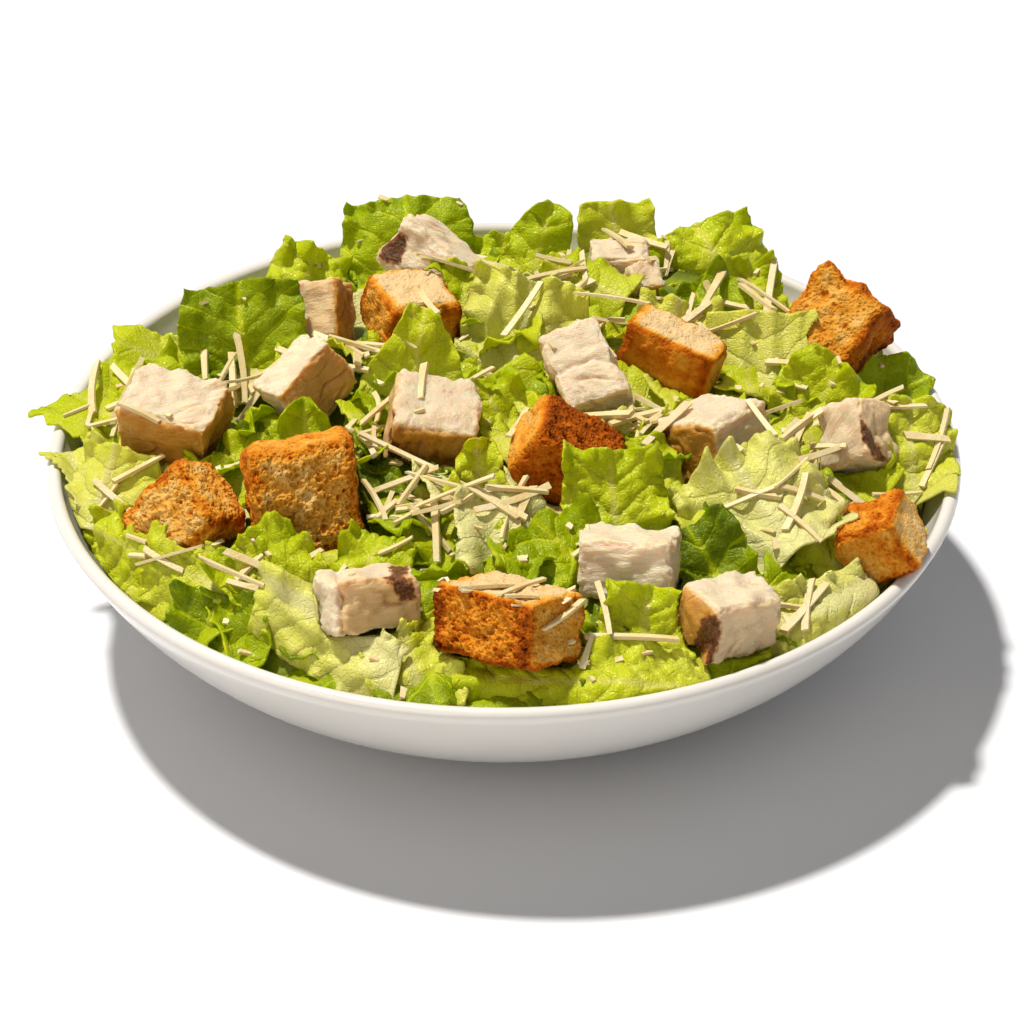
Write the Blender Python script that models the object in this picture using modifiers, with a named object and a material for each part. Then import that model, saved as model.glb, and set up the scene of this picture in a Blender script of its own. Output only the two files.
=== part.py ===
"""A chopped salad in its bowl: romaine leaves, diced chicken, croutons and shreds of hard cheese
heaped in a wide, shallow white bowl. Metres, +Z up, origin at the middle of the bowl's foot, and
the bowl's front is towards -Y."""

import math
import random
from dataclasses import dataclass, replace

import bmesh
import bpy
from mathutils import Matrix, Vector, noise
from mathutils.bvhtree import BVHTree

MM = 0.001

# ---- the bowl -------------------------------------------------------------------------------------
BOWL_RADIUS = 0.105
BOWL_HEIGHT = 0.046
WALL = 0.0034
FOOT_RADIUS = 0.046
FOOT_HEIGHT = 0.0026
FLOOR_RADIUS = 0.040
FLOOR_TOP = FOOT_HEIGHT + WALL
RIM_INSIDE = BOWL_RADIUS - WALL
BOWL_STEPS = 44  # steps round the bowl
BOWL_POINTS = 6  # spans that each side of its wall is drawn with

# ---- the heap -------------------------------------------------------------------------------------
BOWL_GAP = 0.0006  # between the heap and the bowl's wall
PIECE_ROOM = 0.0013  # cut from the heap round each crouton or piece of chicken
HEAP_EDGE = 0.037  # height of the heap's core where it meets the wall
HEAP_RISE = 0.016  # how far the core's middle stands above that
LUMP_SIZE, LUMP_HEIGHT = 0.022, 0.0022
SEAT_DEPTH = 0.0025  # how deep a crouton or a piece of chicken sinks into the core
SEAT_SPREAD = 0.014  # how far round it the core rises or dips to meet it
CORE_SEGMENTS, CORE_RINGS = 26, 11

# ---- croutons and chicken -------------------------------------------------------------------------
CORNER_SHIFT = (-0.12, 0.05)  # how far a corner moves in or out, as a share of half a side
DENTS = ((0.0063, 1.0), (0.0030, 0.6))  # size and share of the dents in their faces
CROUTON_CUTS, CHICKEN_CUTS = 3, 2

# ---- leaves and shreds ----------------------------------------------------------------------------
LEAF_THICKNESS = {"dark": 0.0009, "green": 0.0010, "pale": 0.0013}
LEAF_CELL = 8.2  # mm, the size that a leaf's cells come close to
LEAF_CRINKLE, CRINKLE_SIZE = 0.0016, 0.0165
LEAF_SINK = 0.0015  # how far a leaf's lowest point goes into the core
LEAF_ROOM = 0.0016  # from a leaf to a crouton or a piece of chicken
WALL_ROOM, RIM_ROOM = 0.0016, 0.0018  # from a leaf to the bowl's wall, and to its rim
RIM_SLOPE = 0.7
LEAF_TRIES, TRY_SHRINK, TRY_LIFT = 7, 0.07, 0.8
FAR_LEAVES = 9
FAR_ARC = (18, 162)  # degrees, the stretch of the far side that they stand along
FAR_REACH = (72, 86)  # mm from the middle of the bowl
SHRED_WIDTH, SHRED_THICKNESS = 0.0021, 0.0012
SHRED_LENGTHS = (0.014, 0.022)
SHRED_COUNT = 26
SHRED_REACH, SHRED_EDGE = 0.092, 0.096  # furthest middle and furthest end
SHRED_SPACING = 0.009
SHRED_ROOM = 0.0022  # from a shred to a crouton or a piece of chicken
SHRED_STEPS = 6


@dataclass
class Chunk:
    """A crouton or a piece of chicken. centre and size in mm; its top face points towards facing,
    leaning that many degrees from upright; roll turns it about that face."""

    name: str
    centre: tuple
    size: tuple
    facing: float
    lean: float
    roll: float
    round_off: float = 0.34
    rough: float = 0.8


@dataclass
class Leaf:
    """A piece of lettuce, from a leaf's dark edge, its green middle or its pale heart. at is x, y
    in mm; lift is how far its middle is above the core; cup and arch bend it across and along, in
    degrees; tip says that its far end is the leaf's own round tip and not a cut."""

    kind: str
    at: tuple
    lift: float
    size: tuple
    facing: float
    lean: float
    roll: float
    cup: float = 40
    arch: float = 20
    tip: bool = False
    ruffle: float = 2.0


CROUTONS = (
    Chunk("crouton_1", (-70, -42, 53), (19, 21, 16), -125, 61, 150),
    Chunk("crouton_2", (-44, -39, 57), (25, 26, 17), -81, 68, 4),
    Chunk("crouton_3", (-22, 33, 61), (20, 19, 15), 9, 7, -166),
    Chunk("crouton_4", (39, 16, 60), (12, 23, 15), -15, 15, 171),
    Chunk("crouton_5", (14, -26, 59), (20, 23, 16), -8, 34, -178),
    Chunk("crouton_6", (1, -83, 54), (21, 28, 16), 79, 23, -118),
    Chunk("crouton_7", (78, 32, 57), (22, 24, 18), -115, 44, -22, rough=1.2),
    Chunk("crouton_8", (83, -47, 51), (17, 15, 16), -107, 92, 31),
)
CHICKEN = (
    Chunk("chicken_1", (-75, -6, 56), (18, 23, 17), -82, 14, -117),
    Chunk("chicken_2", (-45, 3, 60), (15, 19, 12), -56, 77, -60),
    Chunk("chicken_3", (-45, 37, 58), (17, 16, 13), -117, 51, -159),
    Chunk("chicken_4", (-17, 60, 59), (15, 23, 13), -117, 68, -114),
    Chunk("chicken_5", (-16, -15, 60), (19, 20, 16), -58, 17, -124),
    Chunk("chicken_6", (19, 4, 62), (15, 22, 12), -107, 31, -145),
    Chunk("chicken_7", (28, 68, 55), (11, 15, 9), -90, 3, -90),
    Chunk("chicken_8", (47, -16, 57), (18, 22, 15), 121, 18, 113),
    Chunk("chicken_9", (80, -12, 55), (13, 15, 14), -138, 57, -142),
    Chunk("chicken_10", (-29, -75, 54), (13, 20, 13), 98, 24, 107),
    Chunk("chicken_11", (27, -64, 56), (14, 21, 14), 90, 16, 78),
    Chunk("chicken_12", (48, -78, 52), (14, 19, 14), 34, 8, 178),
    Chunk("chicken_13", (34, 55, 57), (8, 8, 7), -76, 25, -86),
)
LEAVES = (
    Leaf("green", (-97, 14), 6, (24, 27), -110, 32, 75, cup=-30, arch=-35),
    Leaf("dark", (-61, 25), 11, (29, 28), -84, 62, 4, cup=34, arch=-24),
    Leaf("pale", (-86, 43), 4, (17, 15), -60, 30, 60),
    Leaf("green", (-46, 69), 7, (21, 21), -70, 52, -28, cup=-60),
    Leaf("dark", (-24, 80), 7, (33, 21), -88, 55, 2, cup=-42, arch=-30),
    Leaf("dark", (7, 73), 7, (19, 21), -78, 50, -24, cup=-50, tip=True),
    Leaf("pale", (28, 86), 7, (20, 17), -84, 58, 6),
    Leaf("green", (52, 73), 7, (31, 22), -72, 52, 10, cup=-48, arch=-34),
    Leaf("green", (22, 50), 8, (18, 24), -98, 36, 70, cup=-96),
    Leaf("green", (-21, 9), 9, (25, 27), -88, 64, -10, tip=True),
    Leaf("pale", (1, 24), 7, (26, 30), -95, 46, -8, cup=-40, ruffle=3.2),
    Leaf("dark", (-45, -13), 13, (14, 16), -90, 64, 4, tip=True),
    Leaf("dark", (-60, -17), 6, (20, 18), -84, 24, 20),
    Leaf("pale", (-87, -22), 7, (20, 20), -120, 36, 12, cup=-44),
    Leaf("green", (-80, -52), 9, (17, 37), -128, 46, 90, cup=-55, arch=-24, ruffle=2.8),
    Leaf("green", (-50, -62), 8, (20, 22), -98, 34, 50, ruffle=2.8),
    Leaf("pale", (-46, -85), 7, (15, 34), -112, 48, 72, cup=-50),
    Leaf("green", (-19, -88), 8, (20, 21), -95, 32, 20),
    Leaf("green", (15, -90), 10, (17, 56), -88, 38, 86, cup=-34, arch=-34, ruffle=2.4),
    Leaf("dark", (-17, -44), 8, (30, 30), -92, 17, 14, cup=24),
    Leaf("pale", (-8, -43), 13, (18, 19), -112, 22, 52, cup=12),
    Leaf("pale", (0, -52), 12, (13, 14), -96, 24, 34, cup=12),
    Leaf("green", (24, -43), 11, (24, 24), -78, 48, -6, ruffle=3.2),
    Leaf("green", (14, -57), 9, (22, 19), -90, 24, 40, ruffle=2.6),
    Leaf("green", (26, -85), 9, (20, 18), -80, 54, -14, ruffle=2.8),
    Leaf("pale", (58, -37), 8, (34, 30), -88, 32, 30, cup=-30, ruffle=3.6),
    Leaf("pale", (62, 21), 8, (28, 22), -100, 44, 8, cup=-18),
    Leaf("green", (74, 8), 8, (21, 17), -108, 46, -20, ruffle=3.0),
    Leaf("dark", (92, 21), 9, (20, 18), -70, 36, -76, tip=True),
    Leaf("green", (93, -11), 8, (20, 26), -70, 36, -16, cup=-34),
    Leaf("dark", (78, -21), 6, (22, 15), -88, 26, 50),
    Leaf("green", (64, -51), 9, (24, 23), -62, 40, 30, ruffle=3.4),
    Leaf("green", (67, -66), 13, (16, 36), -56, 38, 88, cup=-34, arch=-26),
    Leaf("dark", (43, -57), 7, (25, 20), -84, 42, 22),
    Leaf("green", (33, -27), 7, (12, 14), -100, 50, 16, cup=-60),
    Leaf("dark", (37, -86), 8, (15, 42), -76, 32, 90, cup=20),
    Leaf("dark", (48, 44), 5, (19, 16), -84, 36, 30, ruffle=2.8),
    Leaf("green", (60, 62), 6, (18, 19), -66, 38, -12),
    Leaf("dark", (-60, -72), 7, (24, 18), -122, 46, 10),
    Leaf("green", (-1, -6), 7, (18, 17), -90, 42, 26, ruffle=2.8),
    Leaf("green", (-5, -29), 10, (12, 14), -94, 62, 6, tip=True),
    Leaf("green", (-10, 40), 7, (20, 18), -80, 44, -20),
    Leaf("dark", (-60, 52), 5, (20, 20), -100, 40, 24, tip=True),
    Leaf("green", (-77, 20), 5, (20, 20), -96, 34, -30),
    Leaf("green", (-30, -62), 5, (16, 18), -86, 30, -24),
    Leaf("green", (80, 48), 4, (20, 18), -110, 34, 10),
    Leaf("pale", (40, 28), 4, (20, 20), -80, 30, -14),
    Leaf("green", (0, 90), 5, (20, 16), -90, 48, 10),
    Leaf("green", (-66, -24), 4, (18, 18), -100, 24, -16),
)

# ---- finishes: name, colour and roughness ---------------------------------------------------------
WHITE_GLAZE = ("white glaze", (0.83, 0.82, 0.80), 0.28)
LETTUCE = ("romaine", (0.26, 0.42, 0.05), 0.42)
TOAST = ("toasted bread", (0.62, 0.30, 0.08), 0.85)
MEAT = ("cooked chicken", (0.80, 0.65, 0.49), 0.55)


def clear_scene():
    for item in list(bpy.data.objects):
        bpy.data.objects.remove(item)


def collection(name):
    made = bpy.data.collections.new(name)
    bpy.context.scene.collection.children.link(made)
    return made


def material(finish):
    name, colour, roughness = finish
    made = bpy.data.materials.get(name)
    if made is None:
        made = bpy.data.materials.new(name)
        made.use_nodes = True
        shader = made.node_tree.nodes["Principled BSDF"]
        shader.inputs["Base Color"].default_value = (*colour, 1)
        shader.inputs["Roughness"].default_value = roughness
        shader.inputs["Metallic"].default_value = 0
    return made


def new_object(name, mesh, home, finish=None):
    made = bpy.data.objects.new(name, mesh)
    home.objects.link(made)
    if finish:
        mesh.materials.append(material(finish))
    return made


def mesh_of(bm, name):
    made = bpy.data.meshes.new(name)
    bm.to_mesh(made)
    bm.free()
    return made


def placing(facing, lean, roll):
    """Turns a piece so that its top (+Z) leans towards facing, and its far end (+Y) points uphill
    when roll is 0."""
    return (
        Matrix.Rotation(math.radians(facing), 3, "Z")
        @ Matrix.Rotation(math.radians(lean), 3, "Y")
        @ Matrix.Rotation(math.radians(roll + 90), 3, "Z")
    )


# ---- bowl -----------------------------------------------------------------------------------------


def bezier(start, pull_start, pull_end, end, steps):
    points = [Vector(p) for p in (start, pull_start, pull_end, end)]
    made = []
    for step in range(steps + 1):
        t = step / steps
        weights = ((1 - t) ** 3, 3 * t * (1 - t) ** 2, 3 * t * t * (1 - t), t**3)
        made.append(sum((w * p for w, p in zip(weights, points)), Vector((0, 0))))
    return made


def inside_wall(steps):
    """The bowl's inside, from the edge of its flat floor up to its rim."""
    top = (RIM_INSIDE, BOWL_HEIGHT - WALL / 2)
    return bezier((FLOOR_RADIUS, FLOOR_TOP), (0.070, FLOOR_TOP), (0.0935, 0.026), top, steps)


def bowl_profile():
    """The bowl's section from the middle of its floor, up the inside, over the rim and down the
    outside to the middle of its foot."""
    lip = WALL / 2
    foot = (FOOT_RADIUS, FOOT_HEIGHT)
    outside_top = (BOWL_RADIUS, BOWL_HEIGHT - lip)
    outside = bezier(outside_top, (0.0965, 0.025), (0.073, FOOT_HEIGHT), foot, BOWL_POINTS)
    middle = Vector((BOWL_RADIUS - lip, BOWL_HEIGHT - lip))
    turns = [math.radians(45 * k) for k in range(1, 4)]
    rim = [middle + lip * Vector((-math.cos(a), math.sin(a))) for a in turns]
    ends = [Vector((FOOT_RADIUS, 0)), Vector((0, 0))]
    return [Vector((0, FLOOR_TOP)), *inside_wall(BOWL_POINTS), *rim, *outside, *ends]


def make_bowl(home):
    bm = bmesh.new()
    points = [bm.verts.new((p.x, 0, p.y)) for p in bowl_profile()]
    for first, second in zip(points, points[1:]):
        bm.edges.new((first, second))
    made = new_object("bowl", mesh_of(bm, "bowl"), home, WHITE_GLAZE)
    screw = made.modifiers.new("turn", "SCREW")
    screw.steps = screw.render_steps = BOWL_STEPS
    screw.use_merge_vertices = True
    screw.merge_threshold = 0.00002
    screw.use_smooth_shade = True
    return made


WALL_POINTS = inside_wall(BOWL_POINTS)


def inner_radius(z):
    """The radius of the bowl's inside at a height."""
    for low, high in zip(WALL_POINTS, WALL_POINTS[1:]):
        if z <= high.y:
            share = (z - low.y) / max(high.y - low.y, 1e-9)
            return low.x + max(0.0, share) * (high.x - low.x)
    return WALL_POINTS[-1].x


# ---- croutons and chicken -------------------------------------------------------------------------


def chunk_turn(chunk):
    return placing(chunk.facing, chunk.lean, chunk.roll)


def chunk_bottom(chunk):
    """The height of a chunk's underside, its worn corners left out."""
    half = [s * MM / 2 for s in chunk.size]
    drop = sum(abs(chunk_turn(chunk)[2][k]) * half[k] for k in range(3))
    return chunk.centre[2] * MM - 0.8 * drop


def chunk_mesh(chunk, cuts, rough, grow=0.0):
    """A worn, uneven block: a cube whose corners are shifted, edges rounded and faces made rough."""
    rng = random.Random(chunk.name)
    corner = {
        (a, b, c): Vector([rng.uniform(*CORNER_SHIFT) for _ in range(3)])
        for a in (0, 1)
        for b in (0, 1)
        for c in (0, 1)
    }
    drift = Vector([rng.uniform(0, 40) for _ in range(3)])
    half = Vector([s * MM / 2 for s in chunk.size])
    radius = chunk.round_off * min(half)
    turn = chunk_turn(chunk)
    bm = bmesh.new()
    bmesh.ops.create_cube(bm, size=2)
    bmesh.ops.subdivide_edges(bm, edges=bm.edges[:], cuts=cuts, use_grid_fill=True)
    for vert in bm.verts:
        unit = vert.co.copy()
        place = [(c + 1) / 2 for c in unit]
        shift = Vector((0, 0, 0))
        for key, push in corner.items():
            weight = math.prod(s if k else 1 - s for s, k in zip(place, key))
            shift += weight * push
        point = Vector([c * (1 + s) * h for c, s, h in zip(unit, shift, half)])
        limit = [h - radius for h in half]
        inner = Vector([max(-m, min(m, p)) for m, p in zip(limit, point)])
        out = point - inner
        if out.length > radius:
            point = inner + out.normalized() * radius
        bump = sum(share * noise.noise(point / size + drift) for size, share in DENTS)
        point += point.normalized() * (rough * MM * bump + grow)
        vert.co = turn @ point + Vector(chunk.centre) * MM
    bmesh.ops.triangulate(bm, faces=bm.faces[:])
    return bm


def push_out(point, clear):
    """Moves a leaf's point out of any crouton or piece of chicken that it would be in."""
    for chunk in CROUTONS + CHICKEN:
        turn = chunk_turn(chunk)
        local = turn.transposed() @ (point - Vector(chunk.centre) * MM)
        room = [s * MM / 2 + clear - abs(c) for s, c in zip(chunk.size, local)]
        nearest = min(range(3), key=lambda k: room[k])
        if room[nearest] > 0:
            local[nearest] += math.copysign(room[nearest], local[nearest])
            point = turn @ local + Vector(chunk.centre) * MM
    return point


# ---- heap -----------------------------------------------------------------------------------------

SEATS = [
    (c.centre[0] * MM, c.centre[1] * MM, chunk_bottom(c) + SEAT_DEPTH) for c in CROUTONS + CHICKEN
]
CORE_RADIUS = inner_radius(HEAP_EDGE) - BOWL_GAP


def core_height(x, y):
    """The core's top: a low lumpy dome that rises or dips to meet whatever lies on it."""
    out = min(1.0, math.hypot(x, y) / CORE_RADIUS)
    dome = HEAP_EDGE + HEAP_RISE * (1 - out**2.2)
    dome += LUMP_HEIGHT * noise.noise(Vector((x, y, 0.01)) / LUMP_SIZE)
    total, weight = 0.25 * dome, 0.25
    for seat_x, seat_y, height in SEATS:
        near = math.exp(-((x - seat_x) ** 2 + (y - seat_y) ** 2) / (2 * SEAT_SPREAD**2))
        total += near * height
        weight += near
    edge = max(0.0, (out - 0.9) / 0.1)
    return (1 - edge) * total / weight + edge * HEAP_EDGE


def make_core(home, finish):
    """The packed inside of the heap: a sphere whose lower half lines the bowl, with a small gap,
    and whose upper half is the lumpy dome."""
    bm = bmesh.new()
    bmesh.ops.create_uvsphere(bm, u_segments=CORE_SEGMENTS, v_segments=CORE_RINGS, radius=1)
    floor = FLOOR_TOP + BOWL_GAP
    for vert in bm.verts:
        x, y, z = vert.co
        flat = math.hypot(x, y)
        angle = math.degrees(math.atan2(flat, z))
        if flat < 1e-6:
            vert.co = (0, 0, core_height(0, 0) if z > 0 else floor)
            continue
        if angle <= 90.5:
            radius = CORE_RADIUS * angle / 90
            height = core_height(x / flat * radius, y / flat * radius)
        else:
            depth = (angle - 90) / (90 - 180 / CORE_RINGS)
            height = HEAP_EDGE + (floor - HEAP_EDGE) * math.sin(math.radians(90 * depth)) ** 1.1
            radius = inner_radius(height) - BOWL_GAP
        vert.co = (x / flat * radius, y / flat * radius, height)
    bmesh.ops.triangulate(bm, faces=bm.faces[:])
    return new_object("lettuce_heap", mesh_of(bm, "lettuce_heap"), home, finish)


def bent(distance, whole, angle):
    """Where a point of a flat strip goes when the strip of length whole is bent by angle."""
    if abs(angle) < 1e-4:
        return distance, 0.0
    radius = whole / angle
    return radius * math.sin(distance / radius), radius * (1 - math.cos(distance / radius))


def half_width(v, tip):
    """A leaf's half width at v, from -1 at its near end to 1 at its far one."""
    if tip:
        return math.sqrt(max(0.03, 1 - ((v + 1) / 2) ** 2.6))
    return 1 - 0.12 * v * v


def cells(leaf):
    """How many cells a leaf has each way: about one for each LEAF_CELL of its size."""
    return [max(2, min(6, round(side / LEAF_CELL))) for side in leaf.size]


def leaf_cage(leaf, seed):
    """The leaf as a grid of points, laid on the heap: bent, ruffled and let down until it touches
    the core, then moved clear of what lies on the heap and of the bowl."""
    across, along = cells(leaf)
    rng = random.Random(seed)
    width, length = (s * MM for s in leaf.size)
    turn = placing(leaf.facing, leaf.lean, leaf.roll)
    waves = [rng.uniform(0, math.tau) for _ in range(2)]
    skew = rng.uniform(-0.16, 0.16)
    drift = Vector([rng.uniform(0, 30) for _ in range(3)])
    x, y = (c * MM for c in leaf.at)
    centre = Vector((x, y, core_height(x, y) + leaf.lift * MM))
    points = []
    for j in range(along + 1):
        v = 2 * j / along - 1
        for i in range(across + 1):
            u = 2 * i / across - 1
            side = u * half_width(v, leaf.tip) * width / 2
            flat_x, rise = bent(side, width, math.radians(leaf.cup))
            end, fall = bent(v * length / 2, length, math.radians(leaf.arch))
            wave = math.sin(2.6 * v + waves[0 if u < 0 else 1])
            ripple = leaf.ruffle * MM * u * u * wave
            local = Vector((flat_x + skew * end, end, rise + fall + ripple))
            local.z += LEAF_CRINKLE * noise.noise(local / CRINKLE_SIZE + drift)
            points.append(centre + turn @ local)
    hang = min(p.z - core_height(p.x, p.y) for p in points) + LEAF_SINK
    points = [push_out(p - Vector((0, 0, max(0.0, hang))), LEAF_ROOM) for p in points]
    over_rim = any(p.xy.length > RIM_INSIDE and p.z > BOWL_HEIGHT for p in points)
    return [in_bowl(p, over_rim) for p in points]


def in_bowl(point, over_rim):
    """Keeps a leaf's point inside the bowl's wall or, where the leaf hangs over the rim, above a
    line that rises to clear it."""
    radius = point.xy.length
    if over_rim:
        clear = BOWL_HEIGHT + RIM_ROOM - RIM_SLOPE * max(0.0, RIM_INSIDE - radius)
        return Vector((point.x, point.y, max(point.z, clear)))
    most = inner_radius(point.z) - WALL_ROOM
    if radius > most:
        point = Vector((point.x * most / radius, point.y * most / radius, point.z))
    return point


def leaf_mesh(leaf, seed):
    """A leaf as a thin closed solid: a grid moved to the cage's points and given its thickness."""
    across, along = cells(leaf)
    cage = leaf_cage(leaf, seed)
    bm = bmesh.new()
    bmesh.ops.create_grid(bm, x_segments=across, y_segments=along, size=1)
    for vert in bm.verts:
        i = round((vert.co.x + 1) / 2 * across)
        j = round((vert.co.y + 1) / 2 * along)
        vert.co = cage[j * (across + 1) + i]
    bmesh.ops.triangulate(bm, faces=bm.faces[:])
    bmesh.ops.solidify(bm, geom=bm.faces[:], thickness=LEAF_THICKNESS[leaf.kind])
    bmesh.ops.recalc_face_normals(bm, faces=bm.faces[:])
    return bm


def add_leaf(leaf, seed, obstacles, home):
    """Adds a leaf that clears the bowl, the croutons and the chicken: it is made a little smaller
    and lifted until it does, and left out if it never does."""
    for step in range(LEAF_TRIES):
        smaller = [s * (1 - TRY_SHRINK * step) for s in leaf.size]
        trial = replace(leaf, size=smaller, lift=leaf.lift + TRY_LIFT * step)
        bm = leaf_mesh(trial, seed)
        if not BVHTree.FromBMesh(bm).overlap(obstacles):
            new_object(f"leaf_{seed}", mesh_of(bm, f"leaf_{seed}"), home)
            return
        bm.free()
    print("left out:", leaf)


def far_side_leaves():
    """Leaves round the heap's far side, leaning outwards over its edge."""
    rng = random.Random(3)
    made = []
    for k in range(FAR_LEAVES):
        angle = FAR_ARC[0] + (FAR_ARC[1] - FAR_ARC[0]) * k / (FAR_LEAVES - 1)
        out = rng.uniform(*FAR_REACH)
        at = (out * math.cos(math.radians(angle)), out * math.sin(math.radians(angle)))
        kind = rng.choice(("dark", "green", "green", "pale"))
        size = (rng.uniform(20, 26), rng.uniform(16, 21))
        lean, roll = rng.uniform(22, 44), rng.uniform(-30, 30)
        made.append(Leaf(kind, at, 5, size, angle, lean, roll, cup=-30, arch=rng.uniform(-30, 20)))
    return made


def surface_tree(objects):
    """One search tree over the faces of several meshes."""
    graph = bpy.context.evaluated_depsgraph_get()
    points, faces = [], []
    for item in objects:
        mesh = item.evaluated_get(graph).data
        start = len(points)
        points += [v.co.copy() for v in mesh.vertices]
        faces += [[start + k for k in p.vertices] for p in mesh.polygons]
    return BVHTree.FromPolygons(points, faces)


def near_chunk(point, clear):
    return (push_out(point, clear) - point).length > 0


def surface_point(tree, x, y):
    return tree.ray_cast(Vector((x, y, 0.12)), Vector((0, 0, -1)))[0]


def shred_ends(tree, rng):
    """Where one shred lies: two points of the heap that the shred bridges, or None when it would
    cut through what lies between them."""
    out = SHRED_REACH * math.sqrt(rng.random())
    angle, heading = rng.uniform(0, math.tau), rng.uniform(0, math.pi)
    length = rng.uniform(*SHRED_LENGTHS)
    steps = [length * (k / SHRED_STEPS - 0.5) for k in range(SHRED_STEPS + 1)]
    spots = [
        (out * math.cos(angle) + d * math.cos(heading), out * math.sin(angle) + d * math.sin(heading))
        for d in steps
    ]
    if max(math.hypot(*spot) for spot in spots) > SHRED_EDGE:
        return None
    below = [surface_point(tree, *spot) for spot in spots]
    if None in below or abs(below[0].z - below[-1].z) > 0.6 * length:
        return None
    line = [below[0].lerp(below[-1], k / SHRED_STEPS) for k in range(SHRED_STEPS + 1)]
    drops = [p.z - q.z for p, q in zip(line, below)]
    if min(drops[2:-2]) < SHRED_THICKNESS or any(near_chunk(p, SHRED_ROOM) for p in line):
        return None
    return below[0], below[-1]


def make_shreds(tree, home):
    """Straight shreds of cheese, each bridging two points of the leaves with its ends sunk in."""
    rng = random.Random(5)
    taken = []
    while len(taken) < SHRED_COUNT:
        ends = shred_ends(tree, rng)
        middle = ends and (ends[0] + ends[1]) / 2
        if ends is None or any((middle - other).length < SHRED_SPACING for other in taken):
            continue
        taken.append(middle)
        bm = bmesh.new()
        bmesh.ops.create_cube(bm, size=1)
        length = (ends[1] - ends[0]).length + SHRED_THICKNESS
        size = Vector((length, SHRED_WIDTH, SHRED_THICKNESS))
        turn = (ends[1] - ends[0]).to_track_quat("X", "Z").to_matrix()
        for vert in bm.verts:
            vert.co = turn @ (vert.co * size) + middle
        bmesh.ops.triangulate(bm, faces=bm.faces[:])
        name = f"shred_{len(taken)}"
        new_object(name, mesh_of(bm, name), home)


def combine(item, operation, others, solver="EXACT"):
    """Joins a collection's objects to an item, or cuts them from it."""
    step = item.modifiers.new(operation.lower(), "BOOLEAN")
    step.operand_type = "COLLECTION"
    step.operation = operation
    step.solver = solver
    step.collection = others
    graph = bpy.context.evaluated_depsgraph_get()
    made = bpy.data.meshes.new_from_object(item.evaluated_get(graph))
    item.modifiers.clear()
    item.data = made


def keep_largest_body(item):
    """Drops the scraps that a cut leaves loose."""
    bm = bmesh.new()
    bm.from_mesh(item.data)
    left, bodies = set(bm.verts), []
    while left:
        stack, body = [left.pop()], []
        while stack:
            vert = stack.pop()
            body.append(vert)
            for edge in vert.link_edges:
                other = edge.other_vert(vert)
                if other in left:
                    left.discard(other)
                    stack.append(other)
        bodies.append(body)
    bodies.sort(key=len)
    for body in bodies[:-1]:
        bmesh.ops.delete(bm, geom=body, context="VERTS")
    bm.to_mesh(item.data)
    bm.free()


def make_heap(home):
    """The core, cut to seat the croutons and the chicken, with leaves and shreds fused on. The
    union takes the MANIFOLD solver, because EXACT leaves a few open edges in it."""
    heap = make_core(home, LETTUCE)
    bowl = home.objects["bowl"]
    seats, pieces = collection("seats"), collection("leaves and shreds")
    for chunk in CROUTONS + CHICKEN:
        name = chunk.name + "_seat"
        new_object(name, mesh_of(chunk_mesh(chunk, 1, 0, PIECE_ROOM), name), seats)
    combine(heap, "DIFFERENCE", seats)
    obstacles = surface_tree([bowl, *(home.objects[chunk.name] for chunk in CROUTONS + CHICKEN)])
    for k, leaf in enumerate([*LEAVES, *far_side_leaves()]):
        add_leaf(leaf, k + 1, obstacles, pieces)
    make_shreds(surface_tree([heap, *pieces.objects]), pieces)
    combine(heap, "UNION", pieces, "MANIFOLD")
    keep_largest_body(heap)
    for group in (seats, pieces):
        for item in list(group.objects):
            bpy.data.objects.remove(item)
        bpy.data.collections.remove(group)


def make_chunks(chunks, cuts, home, finish):
    for chunk in chunks:
        mesh = mesh_of(chunk_mesh(chunk, cuts, chunk.rough), chunk.name)
        mesh.shade_smooth()
        mesh.set_sharp_from_angle(angle=math.radians(50))
        new_object(chunk.name, mesh, home, finish)


def main():
    clear_scene()
    home = collection("chopped salad")
    make_bowl(home)
    make_chunks(CROUTONS, CROUTON_CUTS, home, TOAST)
    make_chunks(CHICKEN, CHICKEN_CUTS, home, MEAT)
    make_heap(home)


main()
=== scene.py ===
# A chicken caesar salad in a wide white bowl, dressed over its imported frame.
# Everything is in metres in the frame's own axes; mm turns millimetres into metres.

import math
import random
from dataclasses import dataclass, replace

import bmesh
import bpy
from mathutils import Matrix, Vector, noise
from mathutils.bvhtree import BVHTree


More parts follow.
